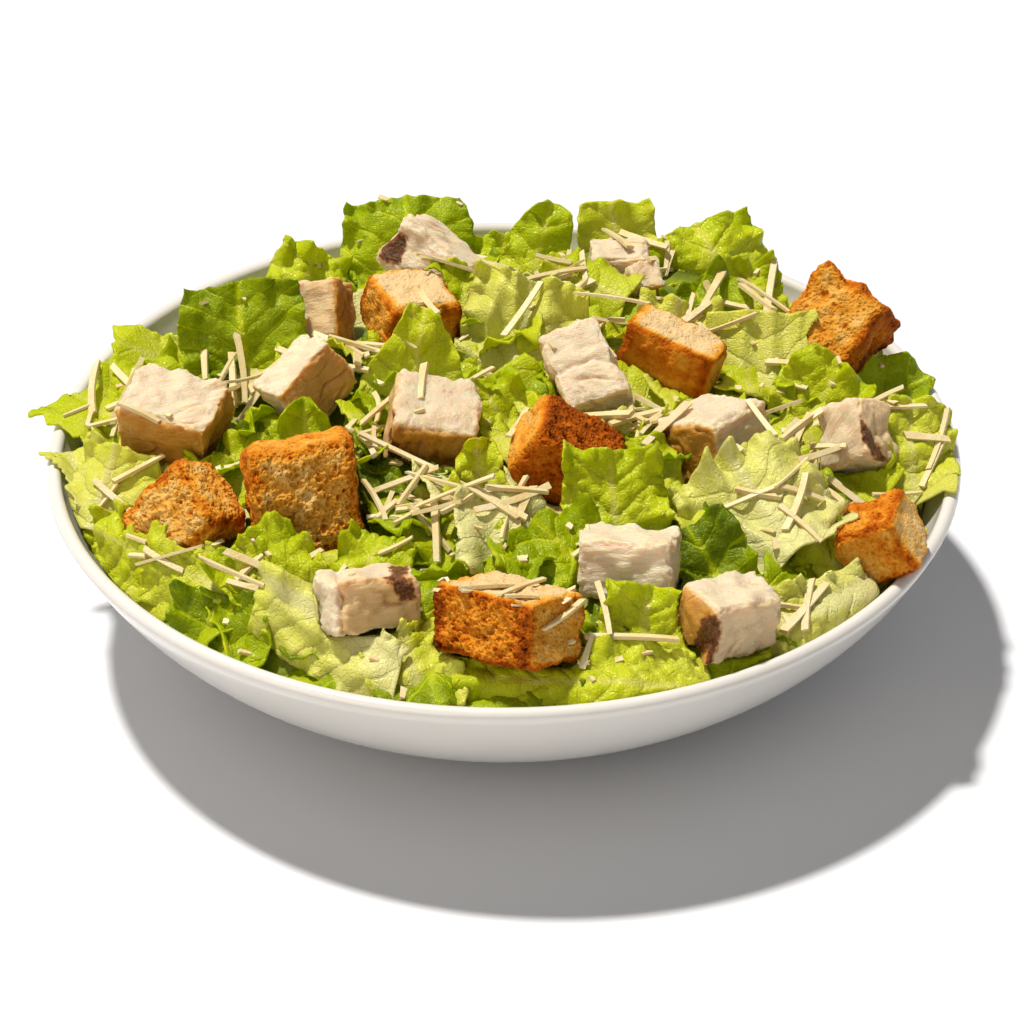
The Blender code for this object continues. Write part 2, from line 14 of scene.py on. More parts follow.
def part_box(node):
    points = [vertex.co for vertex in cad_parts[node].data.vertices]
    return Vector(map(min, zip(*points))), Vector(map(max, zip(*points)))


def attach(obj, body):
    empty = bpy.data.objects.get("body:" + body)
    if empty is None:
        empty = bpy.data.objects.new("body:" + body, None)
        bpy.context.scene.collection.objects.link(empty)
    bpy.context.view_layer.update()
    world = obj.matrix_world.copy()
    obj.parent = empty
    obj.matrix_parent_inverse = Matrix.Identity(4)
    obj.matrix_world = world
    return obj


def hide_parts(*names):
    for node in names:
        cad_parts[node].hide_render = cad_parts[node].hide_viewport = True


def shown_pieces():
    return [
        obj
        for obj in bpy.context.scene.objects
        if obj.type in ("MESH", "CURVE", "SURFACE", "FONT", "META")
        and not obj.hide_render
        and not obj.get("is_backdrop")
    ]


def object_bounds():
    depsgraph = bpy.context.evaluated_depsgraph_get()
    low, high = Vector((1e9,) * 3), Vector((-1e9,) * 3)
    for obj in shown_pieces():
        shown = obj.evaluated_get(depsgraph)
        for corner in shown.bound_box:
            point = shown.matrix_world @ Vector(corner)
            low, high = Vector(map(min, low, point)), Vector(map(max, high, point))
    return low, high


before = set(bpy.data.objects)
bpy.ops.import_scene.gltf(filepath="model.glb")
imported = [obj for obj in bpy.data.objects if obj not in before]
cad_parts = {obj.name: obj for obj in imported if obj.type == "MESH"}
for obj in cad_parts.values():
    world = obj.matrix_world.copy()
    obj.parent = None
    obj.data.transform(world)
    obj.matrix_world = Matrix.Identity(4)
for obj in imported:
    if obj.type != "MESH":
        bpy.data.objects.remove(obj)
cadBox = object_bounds()
mm = 0.001
scene = bpy.context.scene
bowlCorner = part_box("bowl")[1]
bowlRadius = bowlCorner.x
bowlHeight = bowlCorner.z
noise.seed_set(5)  # noise_vector is seeded by the clock otherwise


# small tools shared by every piece


def smooth(low, high, value):
    share = max(0.0, min(1.0, (value - low) / (high - low)))
    return share * share * (3 - 2 * share)


def lerp(a, b, share):
    return a + (b - a) * share


def finishMesh(bm, name, material, shiny=True):
    for face in bm.faces:
        face.smooth = shiny
    mesh = bpy.data.meshes.new(name)
    bm.to_mesh(mesh)
    bm.free()
    mesh.materials.append(material)
    piece = bpy.data.objects.new(name, mesh)
    scene.collection.objects.link(piece)
    return piece


def standFor(piece, nodes):
    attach(piece, "root")
    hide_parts(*nodes)


# shader sockets that take part in sums


class Wire:
    def __init__(self, tree, end=None):
        self.tree, self.end = tree, end

    def node(self, kind, settings, inputs, out=0):
        made = self.tree.nodes.new("ShaderNode" + kind)
        for name, value in settings.items():
            if name == "stops":
                setStops(made.color_ramp, value)
            else:
                setattr(made, name, value)
        for name, value in inputs.items():
            if isinstance(value, Wire):
                self.tree.links.new(value.end, made.inputs[name])
            else:
                made.inputs[name].default_value = value
        return None if out is None else Wire(self.tree, made.outputs[out])

    def math(self, operation, *values):
        return self.node("Math", {"operation": operation}, dict(enumerate(values)))

    def __add__(self, other):
        return self.math("ADD", self, other)

    def __radd__(self, other):
        return self.math("ADD", other, self)

    def __sub__(self, other):
        return self.math("SUBTRACT", self, other)

    def __rsub__(self, other):
        return self.math("SUBTRACT", other, self)

    def __mul__(self, other):
        return self.math("MULTIPLY", self, other)

    def __rmul__(self, other):
        return self.math("MULTIPLY", other, self)

    def step(self, low, high):
        settings = {"interpolation_type": "SMOOTHSTEP"}
        return self.node("MapRange", settings, {"Value": self, "From Min": low, "From Max": high})

    def ramp(self, stops):
        return self.node("ValToRGB", {"stops": stops}, {"Fac": self})

    def scaled(self, factors):
        settings = {"operation": "MULTIPLY"}
        return self.node("VectorMath", settings, {0: self, 1: factors})

    def moved(self, other):
        return self.node("VectorMath", {"operation": "ADD"}, {0: self, 1: other})

    def noise(self, scale, detail=2.0, rough=0.5, out=0):
        inputs = {"Vector": self, "Scale": scale, "Detail": detail, "Roughness": rough}
        return self.node("TexNoise", {}, inputs, out)

    def mix(self, other, factor):
        settings = {"data_type": "RGBA", "blend_type": "MIX", "clamp_factor": True}
        return self.node("Mix", settings, {0: factor, 6: self, 7: other}, out=2)

    def part(self, axis):
        return self.node("SeparateXYZ", {}, {"Vector": self}, out="XYZ".index(axis))


def setStops(ramp, stops):
    while len(ramp.elements) > 1:
        ramp.elements.remove(ramp.elements[-1])
    for k, (place, colour) in enumerate(stops):
        stop = ramp.elements[0] if k == 0 else ramp.elements.new(place)
        stop.position = place
        stop.color = (*colour, 1)


def newMaterial(name):
    material = bpy.data.materials.new(name)
    material.use_nodes = True
    material.node_tree.nodes.clear()
    return material, Wire(material.node_tree)


def attribute(sheet, name):
    return sheet.node("Attribute", {"attribute_name": name}, {}, out=1)


def objectPlace(sheet):
    return sheet.node("TexCoord", {}, {}, out=3)


def bump(sheet, height, distance, strength=1.0):
    return sheet.node("Bump", {}, {"Height": height, "Distance": distance, "Strength": strength})


def setSurface(sheet, shader):
    sheet.node("OutputMaterial", {}, {"Surface": shader}, out=None)


def setSkin(sheet, inputs):
    setSurface(sheet, sheet.node("BsdfPrincipled", {}, inputs))


# light, floor and camera

studio = {
    "aim": (0.00187, -0.02896, 0.046),
    "distance": 0.86,
    "elevation": 33.47,  # degrees
    "lens": 134.81,
    "sensor": 36,
    "sunFrom": (-0.28, 0.25, 1.0),
    "sunPower": 4.2,
    "sunColour": (1.0, 0.955, 0.88),
    "sunSpread": 4.2,  # degrees
    "skyColour": (1.0, 0.985, 0.96),
    "skyPower": 0.25,
    "fillPower": 4.2,
    "fillColour": (1.0, 0.89, 0.74),
    "fillPlace": (-0.60, -0.92, 0.5),
    "fillAim": (0, 0, 0.04),
    "fillSize": 0.9,
    "floorColour": (0.68, 0.70, 0.745),
    "floorRoughness": 0.9,
    "floorSize": 6.0,
    "floorDrop": 0.0002,
}


def makeCamera():
    tilt = math.radians(studio["elevation"])
    camera = bpy.data.objects.new("camera", bpy.data.cameras.new("camera"))
    scene.collection.objects.link(camera)
    back = Vector((0, -math.cos(tilt), math.sin(tilt)))
    camera.location = Vector(studio["aim"]) + studio["distance"] * back
    camera.rotation_euler = (math.pi / 2 - tilt, 0, 0)
    camera.data.lens = studio["lens"]
    camera.data.sensor_width = studio["sensor"]
    scene.camera = camera


def makeLights():
    sun = bpy.data.objects.new("sun", bpy.data.lights.new("sun", "SUN"))
    sun.data.energy = studio["sunPower"]
    sun.data.color = studio["sunColour"]
    sun.data.angle = math.radians(studio["sunSpread"])
    sun.rotation_euler = Vector(studio["sunFrom"]).to_track_quat("Z", "Y").to_euler()
    scene.collection.objects.link(sun)
    fill = bpy.data.objects.new("fill", bpy.data.lights.new("fill", "AREA"))
    fill.data.energy = studio["fillPower"]
    fill.data.color = studio["fillColour"]
    fill.data.size = studio["fillSize"]
    fill.location = studio["fillPlace"]
    towards = fill.location - Vector(studio["fillAim"])
    fill.rotation_euler = towards.to_track_quat("Z", "Y").to_euler()
    scene.collection.objects.link(fill)
    world = bpy.data.worlds.new("studio")
    scene.world = world
    world.use_nodes = True
    sky = world.node_tree.nodes["Background"]
    sky.inputs["Color"].default_value = (*studio["skyColour"], 1)
    sky.inputs["Strength"].default_value = studio["skyPower"]
    scene.view_settings.view_transform = "Standard"


def makeFloor():
    material, sheet = newMaterial("pale floor")
    colour = (*studio["floorColour"], 1)
    setSkin(sheet, {"Base Color": colour, "Roughness": studio["floorRoughness"]})
    bm = bmesh.new()
    bmesh.ops.create_grid(bm, x_segments=1, y_segments=1, size=studio["floorSize"] / 2)
    bmesh.ops.translate(bm, verts=bm.verts[:], vec=(0, 0, -studio["floorDrop"]))
    finishMesh(bm, "floor", material)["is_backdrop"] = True


makeCamera()
makeLights()
makeFloor()
print("camera, lights and floor")


# the bowl

bowl = {
    "wall": 0.0034,
    "footRadius": 0.046,
    "footHeight": 0.0026,
    "floorRadius": 0.040,
    "insidePulls": ((0.070, 0.006), (0.0935, 0.026)),
    "outsidePulls": ((0.0965, 0.025), (0.073, 0.0026)),
    "spans": 22,
    "turns": 144,
    "rimSteps": 10,
    "footRing": 0.006,
    "footHollow": 0.0009,
    "footEdge": ((0.0002, 0.0006), (0.0008, 0)),  # in from the foot's side, and height
    "ringSlope": 0.0012,
    "sharpAngle": 50,  # degrees
    "mergeWithin": 1e-6,
}
floorTop = bowl["footHeight"] + bowl["wall"]
rimInside = bowlRadius - bowl["wall"]


def bezier(points, steps):
    points = [Vector(p) for p in points]
    made = []
    for step in range(steps + 1):
        t = step / steps
        weights = ((1 - t) ** 3, 3 * t * (1 - t) ** 2, 3 * t * t * (1 - t), t**3)
        made.append(sum((w * p for w, p in zip(weights, points)), Vector((0, 0))))
    return made


def insideWall(steps):
    low = (bowl["floorRadius"], floorTop)
    top = (rimInside, bowlHeight - bowl["wall"] / 2)
    return bezier((low, *bowl["insidePulls"], top), steps)


def bowlProfile():
    lip = bowl["wall"] / 2
    middle = Vector((bowlRadius - lip, bowlHeight - lip))
    steps = bowl["rimSteps"]
    turns = [math.pi * k / steps for k in range(1, steps)]
    rim = [middle + lip * Vector((-math.cos(a), math.sin(a))) for a in turns]
    top = (bowlRadius, bowlHeight - lip)
    foot = (bowl["footRadius"], bowl["footHeight"])
    outside = bezier((top, *bowl["outsidePulls"], foot), bowl["spans"])
    ring, hollow = bowl["footRadius"] - bowl["footRing"], bowl["footHollow"]
    under = [(bowl["footRadius"] - inward, height) for inward, height in bowl["footEdge"]]
    under += [(ring, 0), (ring - bowl["ringSlope"], hollow), (0, hollow)]
    inside = insideWall(bowl["spans"])
    return [Vector((0, floorTop)), *inside, *rim, *outside, *map(Vector, under)]


def makeBowl(material):
    bm = bmesh.new()
    points = [bm.verts.new((p.x, 0, p.y)) for p in bowlProfile()]
    edges = [bm.edges.new(pair) for pair in zip(points, points[1:])]
    turn = {"cent": (0, 0, 0), "axis": (0, 0, 1), "angle": math.tau, "steps": bowl["turns"]}
    bmesh.ops.spin(bm, geom=points + edges, use_merge=True, **turn)
    bmesh.ops.remove_doubles(bm, verts=bm.verts[:], dist=bowl["mergeWithin"])
    bmesh.ops.recalc_face_normals(bm, faces=bm.faces[:])
    piece = finishMesh(bm, "whiteBowl", material)
    piece.data.set_sharp_from_angle(angle=math.radians(bowl["sharpAngle"]))
    standFor(piece, ["bowl"])


glaze = {
    "whites": [(0, (0.690, 0.660, 0.620)), (1, (0.730, 0.705, 0.670))],
    "cloudScale": 22,
    "speckScale": 900,
    "rippleScale": 60,
    "rippleDepth": 0.00012,
    "speckHeight": 0.15,
}


def glazeMaterial():
    material, sheet = newMaterial("white glaze")
    place = objectPlace(sheet)
    cloud = place.noise(glaze["cloudScale"], 3).step(0.3, 0.7)
    speck = place.noise(glaze["speckScale"], 1).step(0.66, 0.72)
    height = place.noise(glaze["rippleScale"], 2) + speck * glaze["speckHeight"]
    skin = {
        "Base Color": cloud.ramp(glaze["whites"]),
        "Roughness": 0.16 + cloud * 0.08,
        "Coat Weight": 0.35,
        "Coat Roughness": 0.08,
        "Normal": bump(sheet, height, glaze["rippleDepth"], 0.5),
    }
    setSkin(sheet, skin)
    return material


makeBowl(glazeMaterial())
print("bowl")


# where the croutons and the chicken lie


@dataclass
class Chunk:
    name: str
    centre: tuple  # mm
    size: tuple  # mm
    facing: float
    lean: float
    roll: float
    rough: float = 0.8
    browningAndPaintedShading: tuple = ()  # (side, how toasted or browned, which also holds painted shading: a face is painted lighter or darker by how the light falls on it; and on bread how open its pores are)
    marks: tuple = ()  # grill marks: (side, place across mm, slant, width mm, low mm, high mm)
    grain: tuple = (1, 0, 0)  # the way that the meat's fibres run
    edge: float = 0.25
    creases: tuple = ()  # (way across it, place mm, depth mm)


chunk = {
    "roundOff": 0.46,
    "cornerShift": (-0.12, 0.05),
    "dents": ((0.0063, 1.25), (0.0030, 0.7)),
    "seatDepth": 0.0025,
    "seatSpread": 0.014,
    "restShare": 0.8,  # of its half height, from its middle down to what it rests on
}
sides = {
    "top": (0, 0, 1),
    "front": (0, -1, 0.2),
    "left": (-1, 0, 0.1),
    "right": (1, 0, 0.1),
    "frontLeft": (-1, -1, 0.1),
    "frontRight": (1, -1, 0.1),
}
# each crouton's face toasts hold painted shading as well as real toasting: some faces in the sun's
# shade are painted lighter, others darker
croutons = (
    Chunk("crouton_1", (-70, -42, 53), (19, 21, 16), -125, 61, 150,
          browningAndPaintedShading=(("front", 0.32, 1.0), ("top", 0.54, 0.5), ("right", 0.40, 0.6)), edge=0.24),
    Chunk("crouton_2", (-44, -39, 57), (25, 26, 17), -81, 68, 4,
          browningAndPaintedShading=(("front", 0.38, 1.0), ("top", 0.46, 0.5), ("left", 0.54, 0.6)), edge=0.18),
    Chunk("crouton_3", (-22, 33, 61), (20, 19, 15), 9, 7, -166,
          browningAndPaintedShading=(("top", 0.02, 0.3), ("left", 0.44, 0.4), ("front", 0.60, 0.3)), edge=0.40),
    Chunk("crouton_4", (39, 16, 60), (12, 23, 15), -15, 15, 171,
          browningAndPaintedShading=(("top", 0.07, 0.2), ("front", 0.60, 0.1), ("right", 0.42, 0.3)), edge=0.30),
    Chunk("crouton_5", (14, -26, 59), (20, 23, 16), -8, 34, -178,
          browningAndPaintedShading=(("top", 0.84, 0.9), ("left", 0.44, 0.3), ("front", 0.76, 0.5)), edge=0.08),
    Chunk("crouton_6", (1, -83, 54), (21, 28, 16), 79, 23, -118,
          browningAndPaintedShading=(("top", 0.06, 0.4), ("frontLeft", 0.60, 1.0), ("frontRight", 0.40, 0.5)),
          edge=0.34),
    Chunk("crouton_7", (78, 32, 57), (22, 24, 18), -115, 44, -22, rough=1.2,
          browningAndPaintedShading=(("front", 0.18, 0.6), ("left", 0.38, 0.6), ("top", 0.40, 0.6),
                 ("right", 0.72, 0.5)), edge=0.26),
    Chunk("crouton_8", (83, -47, 51), (17, 15, 16), -107, 92, 31,
          browningAndPaintedShading=(("left", 0.06, 0.4), ("right", 0.25, 0.15), ("front", 0.50, 0.5)), edge=0.30),
)
# each chicken piece's face browning holds painted shading as well as real browning: faces turned
# from the sun are painted tan, and the negative values paint shaded faces paler
chicken = (
    Chunk("chicken_1", (-75, -6, 56), (18, 23, 17), -82, 14, -117,
          browningAndPaintedShading=(("top", 0.0), ("front", 0.80), ("right", 0.8)), grain=(1, 0.2, 0.3)),
    Chunk("chicken_2", (-45, 3, 60), (15, 19, 12), -56, 77, -60,
          browningAndPaintedShading=(("front", 0.62), ("top", 0.0), ("left", -0.1)), grain=(1, 0, 0.6)),
    Chunk("chicken_3", (-45, 37, 58), (17, 16, 13), -117, 51, -159,
          browningAndPaintedShading=(("front", 0.24), ("right", 0.95), ("top", 0.20)), grain=(1, 0, 0.2)),
    Chunk("chicken_4", (-17, 60, 59), (15, 23, 13), -117, 68, -114,
          browningAndPaintedShading=(("front", -0.12), ("top", 0.02), ("left", 0.1)), grain=(1, 0, -0.4),
          marks=(("front", -8.5, 0, 6, -1, 6),)),
    Chunk("chicken_5", (-16, -15, 60), (19, 20, 16), -58, 17, -124,
          browningAndPaintedShading=(("top", 0.04), ("front", 1.0), ("left", 0.40)), grain=(0.2, 0.1, 1),
          marks=(("front", -8.2, 14, 3.4, -2, 6), ("left", 6, -10, 3, -2, 6))),
    Chunk("chicken_6", (19, 4, 62), (15, 22, 12), -107, 31, -145,
          browningAndPaintedShading=(("top", 0.0), ("front", 0.04), ("left", 0.2)), grain=(1, 0.3, -0.3),
          creases=(((0.25, -0.85, -0.45), 0.5, 0.7),)),
    Chunk("chicken_7", (28, 68, 55), (11, 15, 9), -90, 3, -90,
          browningAndPaintedShading=(("top", 0.03), ("front", 0.1)), grain=(1, 0, 0)),
    Chunk("chicken_8", (47, -16, 57), (18, 22, 15), 121, 18, 113,
          browningAndPaintedShading=(("top", 0.0), ("frontLeft", 0.95), ("frontRight", 0.12)), grain=(1, 1, 0),
          marks=(("frontLeft", -8.5, -20, 3.6, -9, 4),)),
    Chunk("chicken_9", (80, -12, 55), (13, 15, 14), -138, 57, -142,
          browningAndPaintedShading=(("left", -0.10), ("right", 0.22), ("top", 0.0)), grain=(0.4, 0.2, 1),
          marks=(("right", -5.2, 8, 3.6, -9, 7),)),
    Chunk("chicken_10", (-29, -75, 54), (13, 20, 13), 98, 24, 107,
          browningAndPaintedShading=(("top", 0.04), ("front", 0.34), ("left", -0.10)), grain=(1, 0.3, 0.1),
          marks=(("front", 6.6, 18, 3.4, -1, 9), ("top", 6.6, 0, 3.4, -9, 9)),
          creases=(((1, 0.1, 0.1), -5.6, 0.9),)),
    Chunk("chicken_11", (27, -64, 56), (14, 21, 14), 90, 16, 78,
          browningAndPaintedShading=(("top", 0.0), ("front", -0.14), ("right", 0.0)), grain=(1, 0, 0.1)),
    Chunk("chicken_12", (48, -78, 52), (14, 19, 14), 34, 8, 178,
          browningAndPaintedShading=(("frontRight", 0.16), ("left", 0.72), ("top", 0.0)), grain=(1, 0, 0.3),
          marks=(("left", 4.6, -22, 4.2, -9, 5), ("frontRight", -9.0, -12, 3.2, -9, 5))),
    Chunk("chicken_13", (34, 55, 57), (8, 8, 7), -76, 25, -86,
          browningAndPaintedShading=(("front", 0.5), ("top", 0.1)), grain=(0, 0, 1)),
)


def placing(facing, lean, roll):
    return (
        Matrix.Rotation(math.radians(facing), 3, "Z")
        @ Matrix.Rotation(math.radians(lean), 3, "Y")
        @ Matrix.Rotation(math.radians(roll + 90), 3, "Z")
    )


def turnOf(item):
    return placing(item.facing, item.lean, item.roll)


def undersideOf(item):
    half = [s * mm / 2 for s in item.size]
    drop = sum(abs(turnOf(item)[2][k]) * half[k] for k in range(3))
    return item.centre[2] * mm - chunk["restShare"] * drop


# the heap's own surface

heap = {
    "edge": 0.037,
    "rise": 0.016,
    "gap": 0.0006,
    "lumpSize": 0.022,
    "lumpHeight": 0.0022,
    "crinkleSize": 0.006,
    "crinkle": 0.0011,
    "segments": 96,
    "rings": 44,
    "fullness": 2.2,
    "domeWeight": 0.25,  # against the seats under the toppings
    "bandStart": 0.9,  # from here out it comes down to its edge
    "bandWidth": 0.1,
    "lowered": 0.0008,  # below the height that the leaves are laid from
    "wallCurve": 1.1,
    "wallSteps": 40,
}
wallPoints = insideWall(heap["wallSteps"])
seats = [
    (c.centre[0] * mm, c.centre[1] * mm, undersideOf(c) + chunk["seatDepth"])
    for c in croutons + chicken
]


def innerRadius(z):
    for low, high in zip(wallPoints, wallPoints[1:]):
        if z <= high.y:
            share = (z - low.y) / max(high.y - low.y, 1e-9)
            return low.x + max(0.0, share) * (high.x - low.x)
    return wallPoints[-1].x


coreRadius = innerRadius(heap["edge"]) - heap["gap"]


def coreHeight(x, y):
    out = min(1.0, math.hypot(x, y) / coreRadius)
    dome = heap["edge"] + heap["rise"] * (1 - out ** heap["fullness"])
    dome += heap["lumpHeight"] * noise.noise(Vector((x, y, 0.01)) / heap["lumpSize"])
    total, weight = heap["domeWeight"] * dome, heap["domeWeight"]
    for seatX, seatY, height in seats:
        near = math.exp(-((x - seatX) ** 2 + (y - seatY) ** 2) / (2 * chunk["seatSpread"] ** 2))
        total += near * height
        weight += near
    edge = max(0.0, (out - heap["bandStart"]) / heap["bandWidth"])
    return (1 - edge) * total / weight + edge * heap["edge"]


def pushOut(point, clear, deepest):
    # moves a leaf's point out of the toppings, or returns None where it lies too deep in one
    for item, turn, back in turnedChunks:
        local = back @ (point - Vector(item.centre) * mm)
        room = [s * mm / 2 + clear - abs(c) for s, c in zip(item.size, local)]
        nearest = min(range(3), key=lambda k: room[k])
        if room[nearest] <= 0:
            continue
        if room[nearest] > deepest:
            return None
        local[nearest] += math.copysign(room[nearest], local[nearest])
        point = turn @ local + Vector(item.centre) * mm
    return point


turnedChunks = [(c, turnOf(c), turnOf(c).transposed()) for c in croutons + chicken]


# lettuce

leafTraits = ("pale", "blister", "crumple", "ruffle", "teeth", "rib")  # all but the first in mm
kinds = {
    "dark": dict(zip(leafTraits, (0.24, 0.75, 2.4, 2.1, 0.5, 0.8))),
    "green": dict(zip(leafTraits, (0.48, 1.05, 2.8, 2.6, 0.5, 1.0))),
    "pale": dict(zip(leafTraits, (0.78, 0.25, 3.0, 2.0, 0.35, 1.4))),
}


@dataclass
class Leaf:
    kind: str
    at: tuple  # mm
    lift: float  # mm above the core
    size: tuple  # mm across and along
    facing: float
    lean: float
    roll: float
    cup: float = 40
    arch: float = 20
    tip: bool = False
    ruffle: float = 0  # mm; 0 takes the kind's own, as do the next five
    pale: float = 0
    blister: float = 0
    crumple: float = 0
    teeth: float = 0
    rib: float = 0
    ribAt: float = 0.0  # across the leaf, -1 to 1
    fold: float = 0.0  # mm, sharp folds along it
    near: float = 1.0  # how wide its near and far ends are
    far: float = 1.0
    own: str = "lrf"  # the sides that are the leaf's own margin: l, r, f (far) or n (near)
    spacing: float = 7.5  # mm between side veins


largeLeaves = (
    Leaf("green", (-94, 11), 7, (32, 30), -110, 30, 75, cup=-30, arch=-35, pale=0.54, blister=1.2),
    Leaf("dark", (-61, 25), 8, (30, 27), -84, 62, 4, cup=34, arch=-24, pale=0.27, crumple=2.8,
         blister=0.6, spacing=5.5),
    Leaf("pale", (-86, 43), 4, (18, 16), -60, 30, 60, pale=0.55),
    Leaf("green", (-49, 69), 4, (19, 20), -70, 52, -28, cup=-60, pale=0.52, fold=1.2),
    Leaf("dark", (-24, 80), 7, (33, 20), -88, 55, 2, cup=-42, arch=-30, pale=0.34, blister=0.6),
    Leaf("dark", (9, 73), 7, (17, 19), -78, 50, -24, cup=-50, tip=True, pale=0.40, blister=0.7),
    Leaf("pale", (28, 86), 7, (20, 17), -84, 58, 6, pale=0.66),
    Leaf("green", (52, 73), 5, (31, 21), -72, 52, 10, cup=-48, arch=-34, pale=0.52, rib=2.0),
    Leaf("green", (20, 50), 6, (17, 22), -98, 36, 70, cup=-96, pale=0.48, blister=0.2, crumple=1.0),
    Leaf("green", (-20, 8), 8, (37, 30), -88, 62, -8, far=0.22, pale=0.56, blister=0.3, crumple=2.2,
         teeth=0.4, ruffle=1.4),
    Leaf("pale", (3, 22), 7, (31, 35), -95, 44, -8, cup=-40, ruffle=3.0, pale=0.82, fold=2.8),
    Leaf("dark", (-45, -13), 13, (15, 17), -90, 64, 4, tip=True, pale=0.40),
    Leaf("dark", (-60, -17), 6, (21, 19), -84, 24, 20, pale=0.20),
    Leaf("pale", (-89, -22), 7, (21, 21), -120, 36, 12, cup=-44, pale=0.74, fold=1.2),
    Leaf("green", (-74, -54), 9, (18, 44), -128, 46, 90, cup=-55, arch=-24, ruffle=2.8,
         pale=0.58, blister=1.25),
    Leaf("green", (-50, -62), 6, (22, 24), -98, 34, 50, ruffle=2.8, pale=0.46),
    Leaf("pale", (-38, -81), 7, (17, 38), -112, 48, 72, cup=-50, pale=0.80, rib=3.2, ribAt=0.45,
         fold=1.6),
    Leaf("green", (-19, -88), 8, (21, 22), -95, 32, 20, pale=0.68, rib=2.4, fold=1.2),
    Leaf("green", (18, -93), 7, (19, 56), -88, 38, 86, cup=-34, arch=-34, ruffle=2.0,
         pale=0.50, blister=1.1, rib=0.9, teeth=0.4),
    Leaf("dark", (-21, -40), 8, (24, 30), -92, 17, 14, cup=24, pale=0.12, crumple=1.0, blister=0.5),
    Leaf("pale", (-11, -37), 13, (18, 17), -112, 22, 52, cup=12, pale=0.76, crumple=0.8),
    Leaf("pale", (0, -48), 12, (14, 15), -96, 24, 34, cup=12, pale=0.78, crumple=0.8),
    Leaf("green", (24, -43), 11, (24, 24), -78, 48, -6, ruffle=3.2, pale=0.50, blister=0.9),
    Leaf("green", (14, -57), 9, (23, 20), -90, 24, 40, ruffle=2.6, pale=0.34),
    Leaf("green", (30, -80), 10, (21, 19), -80, 54, -14, ruffle=2.8, pale=0.54),
    Leaf("pale", (57, -42), 9, (35, 31), -88, 25, 30, cup=-30, ruffle=3.6, pale=0.90, fold=2.6),
    Leaf("pale", (62, 21), 8, (29, 23), -100, 44, 8, cup=-18, pale=0.80, crumple=0.8, fold=1.8,
         blister=0.05, teeth=0.05, ruffle=0.3, rib=0.2),
    Leaf("green", (74, 8), 8, (22, 18), -108, 46, -20, ruffle=3.0, pale=0.50, blister=0.8),
    Leaf("dark", (92, 21), 9, (21, 19), -70, 36, -76, tip=True, pale=0.30, blister=0.6),
    Leaf("green", (93, -11), 8, (21, 28), -70, 36, -16, cup=-34, pale=0.64, blister=1.0),
    Leaf("dark", (78, -21), 6, (23, 16), -88, 26, 50, pale=0.34),
    Leaf("green", (74, -50), 9, (17, 20), -62, 40, 30, ruffle=3.0, pale=0.62),
    Leaf("green", (66, -68), 12, (16, 36), -56, 38, 88, cup=-34, arch=-26, pale=0.80, ruffle=2.6,
         rib=2.0),
    Leaf("dark", (44, -58), 7, (21, 18), -84, 42, 22, pale=0.14),
    Leaf("green", (33, -27), 7, (13, 15), -100, 50, 16, cup=-60, pale=0.52),
    Leaf("dark", (37, -86), 8, (16, 43), -76, 32, 90, cup=20, pale=0.22),
    Leaf("dark", (48, 44), 5, (20, 17), -84, 36, 30, ruffle=2.8, pale=0.26, blister=0.7),
    Leaf("green", (60, 62), 3, (16, 15), -66, 38, -12),
    Leaf("dark", (-60, -72), 7, (25, 19), -122, 46, 10, pale=0.26),
    Leaf("green", (-1, -6), 7, (19, 18), -90, 42, 26, ruffle=2.8),
    Leaf("green", (-5, -29), 10, (13, 15), -94, 62, 6, tip=True, pale=0.56),
    Leaf("green", (-10, 40), 5, (21, 19), -80, 44, -20),
    Leaf("dark", (-60, 52), 2, (17, 17), -100, 40, 24, tip=True),
    Leaf("green", (-77, 20), 3, (17, 17), -96, 34, -30),
    Leaf("green", (-30, -62), 5, (17, 19), -86, 30, -24),
    Leaf("green", (80, 48), 4, (21, 19), -110, 34, 10),
    Leaf("pale", (40, 28), 4, (21, 21), -80, 30, -14),
    Leaf("green", (0, 84), 2, (16, 12), -90, 48, 10),
    Leaf("green", (-66, -24), 4, (19, 19), -100, 24, -16),
    Leaf("pale", (-95, -14), 6, (19, 22), -140, 38, 70, cup=-30, pale=0.80),
    Leaf("green", (-88, -36), 5, (13, 17), -130, 44, 80, cup=-40, pale=0.60),
)
lettuce = {
    "cell": 0.66,  # mm between a large leaf's points
    "underCell": 1.25,  # and a small one's
    "fewest": 4,  # spans across a leaf
    "thickness": 0.00045,
    "sink": 0.0015,
    "pieceRoom": 0.0007,
    "deepest": 0.0022,  # what lies deeper inside a topping is cut away
    "underDeepest": 0.2,  # of that, for the small leaves
    "boxRoom": 0.0004,
    "wallRoom": 0.0011,
    "rimRoom": 0.0012,
    "rimSlope": 0.7,
    "edgeDrop": 0.003,
    "edgeRise": 0.40,
    "toneFall": 0.10,  # how much greener a leaf's tip is than its near end
}
outline = {
    "waver": 0.10,  # of the leaf's width or length
    "waverSizes": (14, 12),  # mm
    "tipPower": 2.6,
    "tipLeast": 0.03,
    "bluntness": 0.12,
    "toothSize": 4.2,  # mm
    "toothFrom": 0.7,  # of the way from the middle to the margin
    "notches": (3.0, 1.1, 0.5),  # the teeth's own depth, broad swings of it and fine ones
}
veins = {
    "wander": (1.2, 16),  # mm sideways, mm along
    "ribWidths": (1.2, 0.45),  # at the leaf's near end and at its tip
    "slope": 0.8,  # how steeply the side veins leave the rib
    "curl": 0.012,
    "uneven": (0.35, 7),  # rows, mm
}
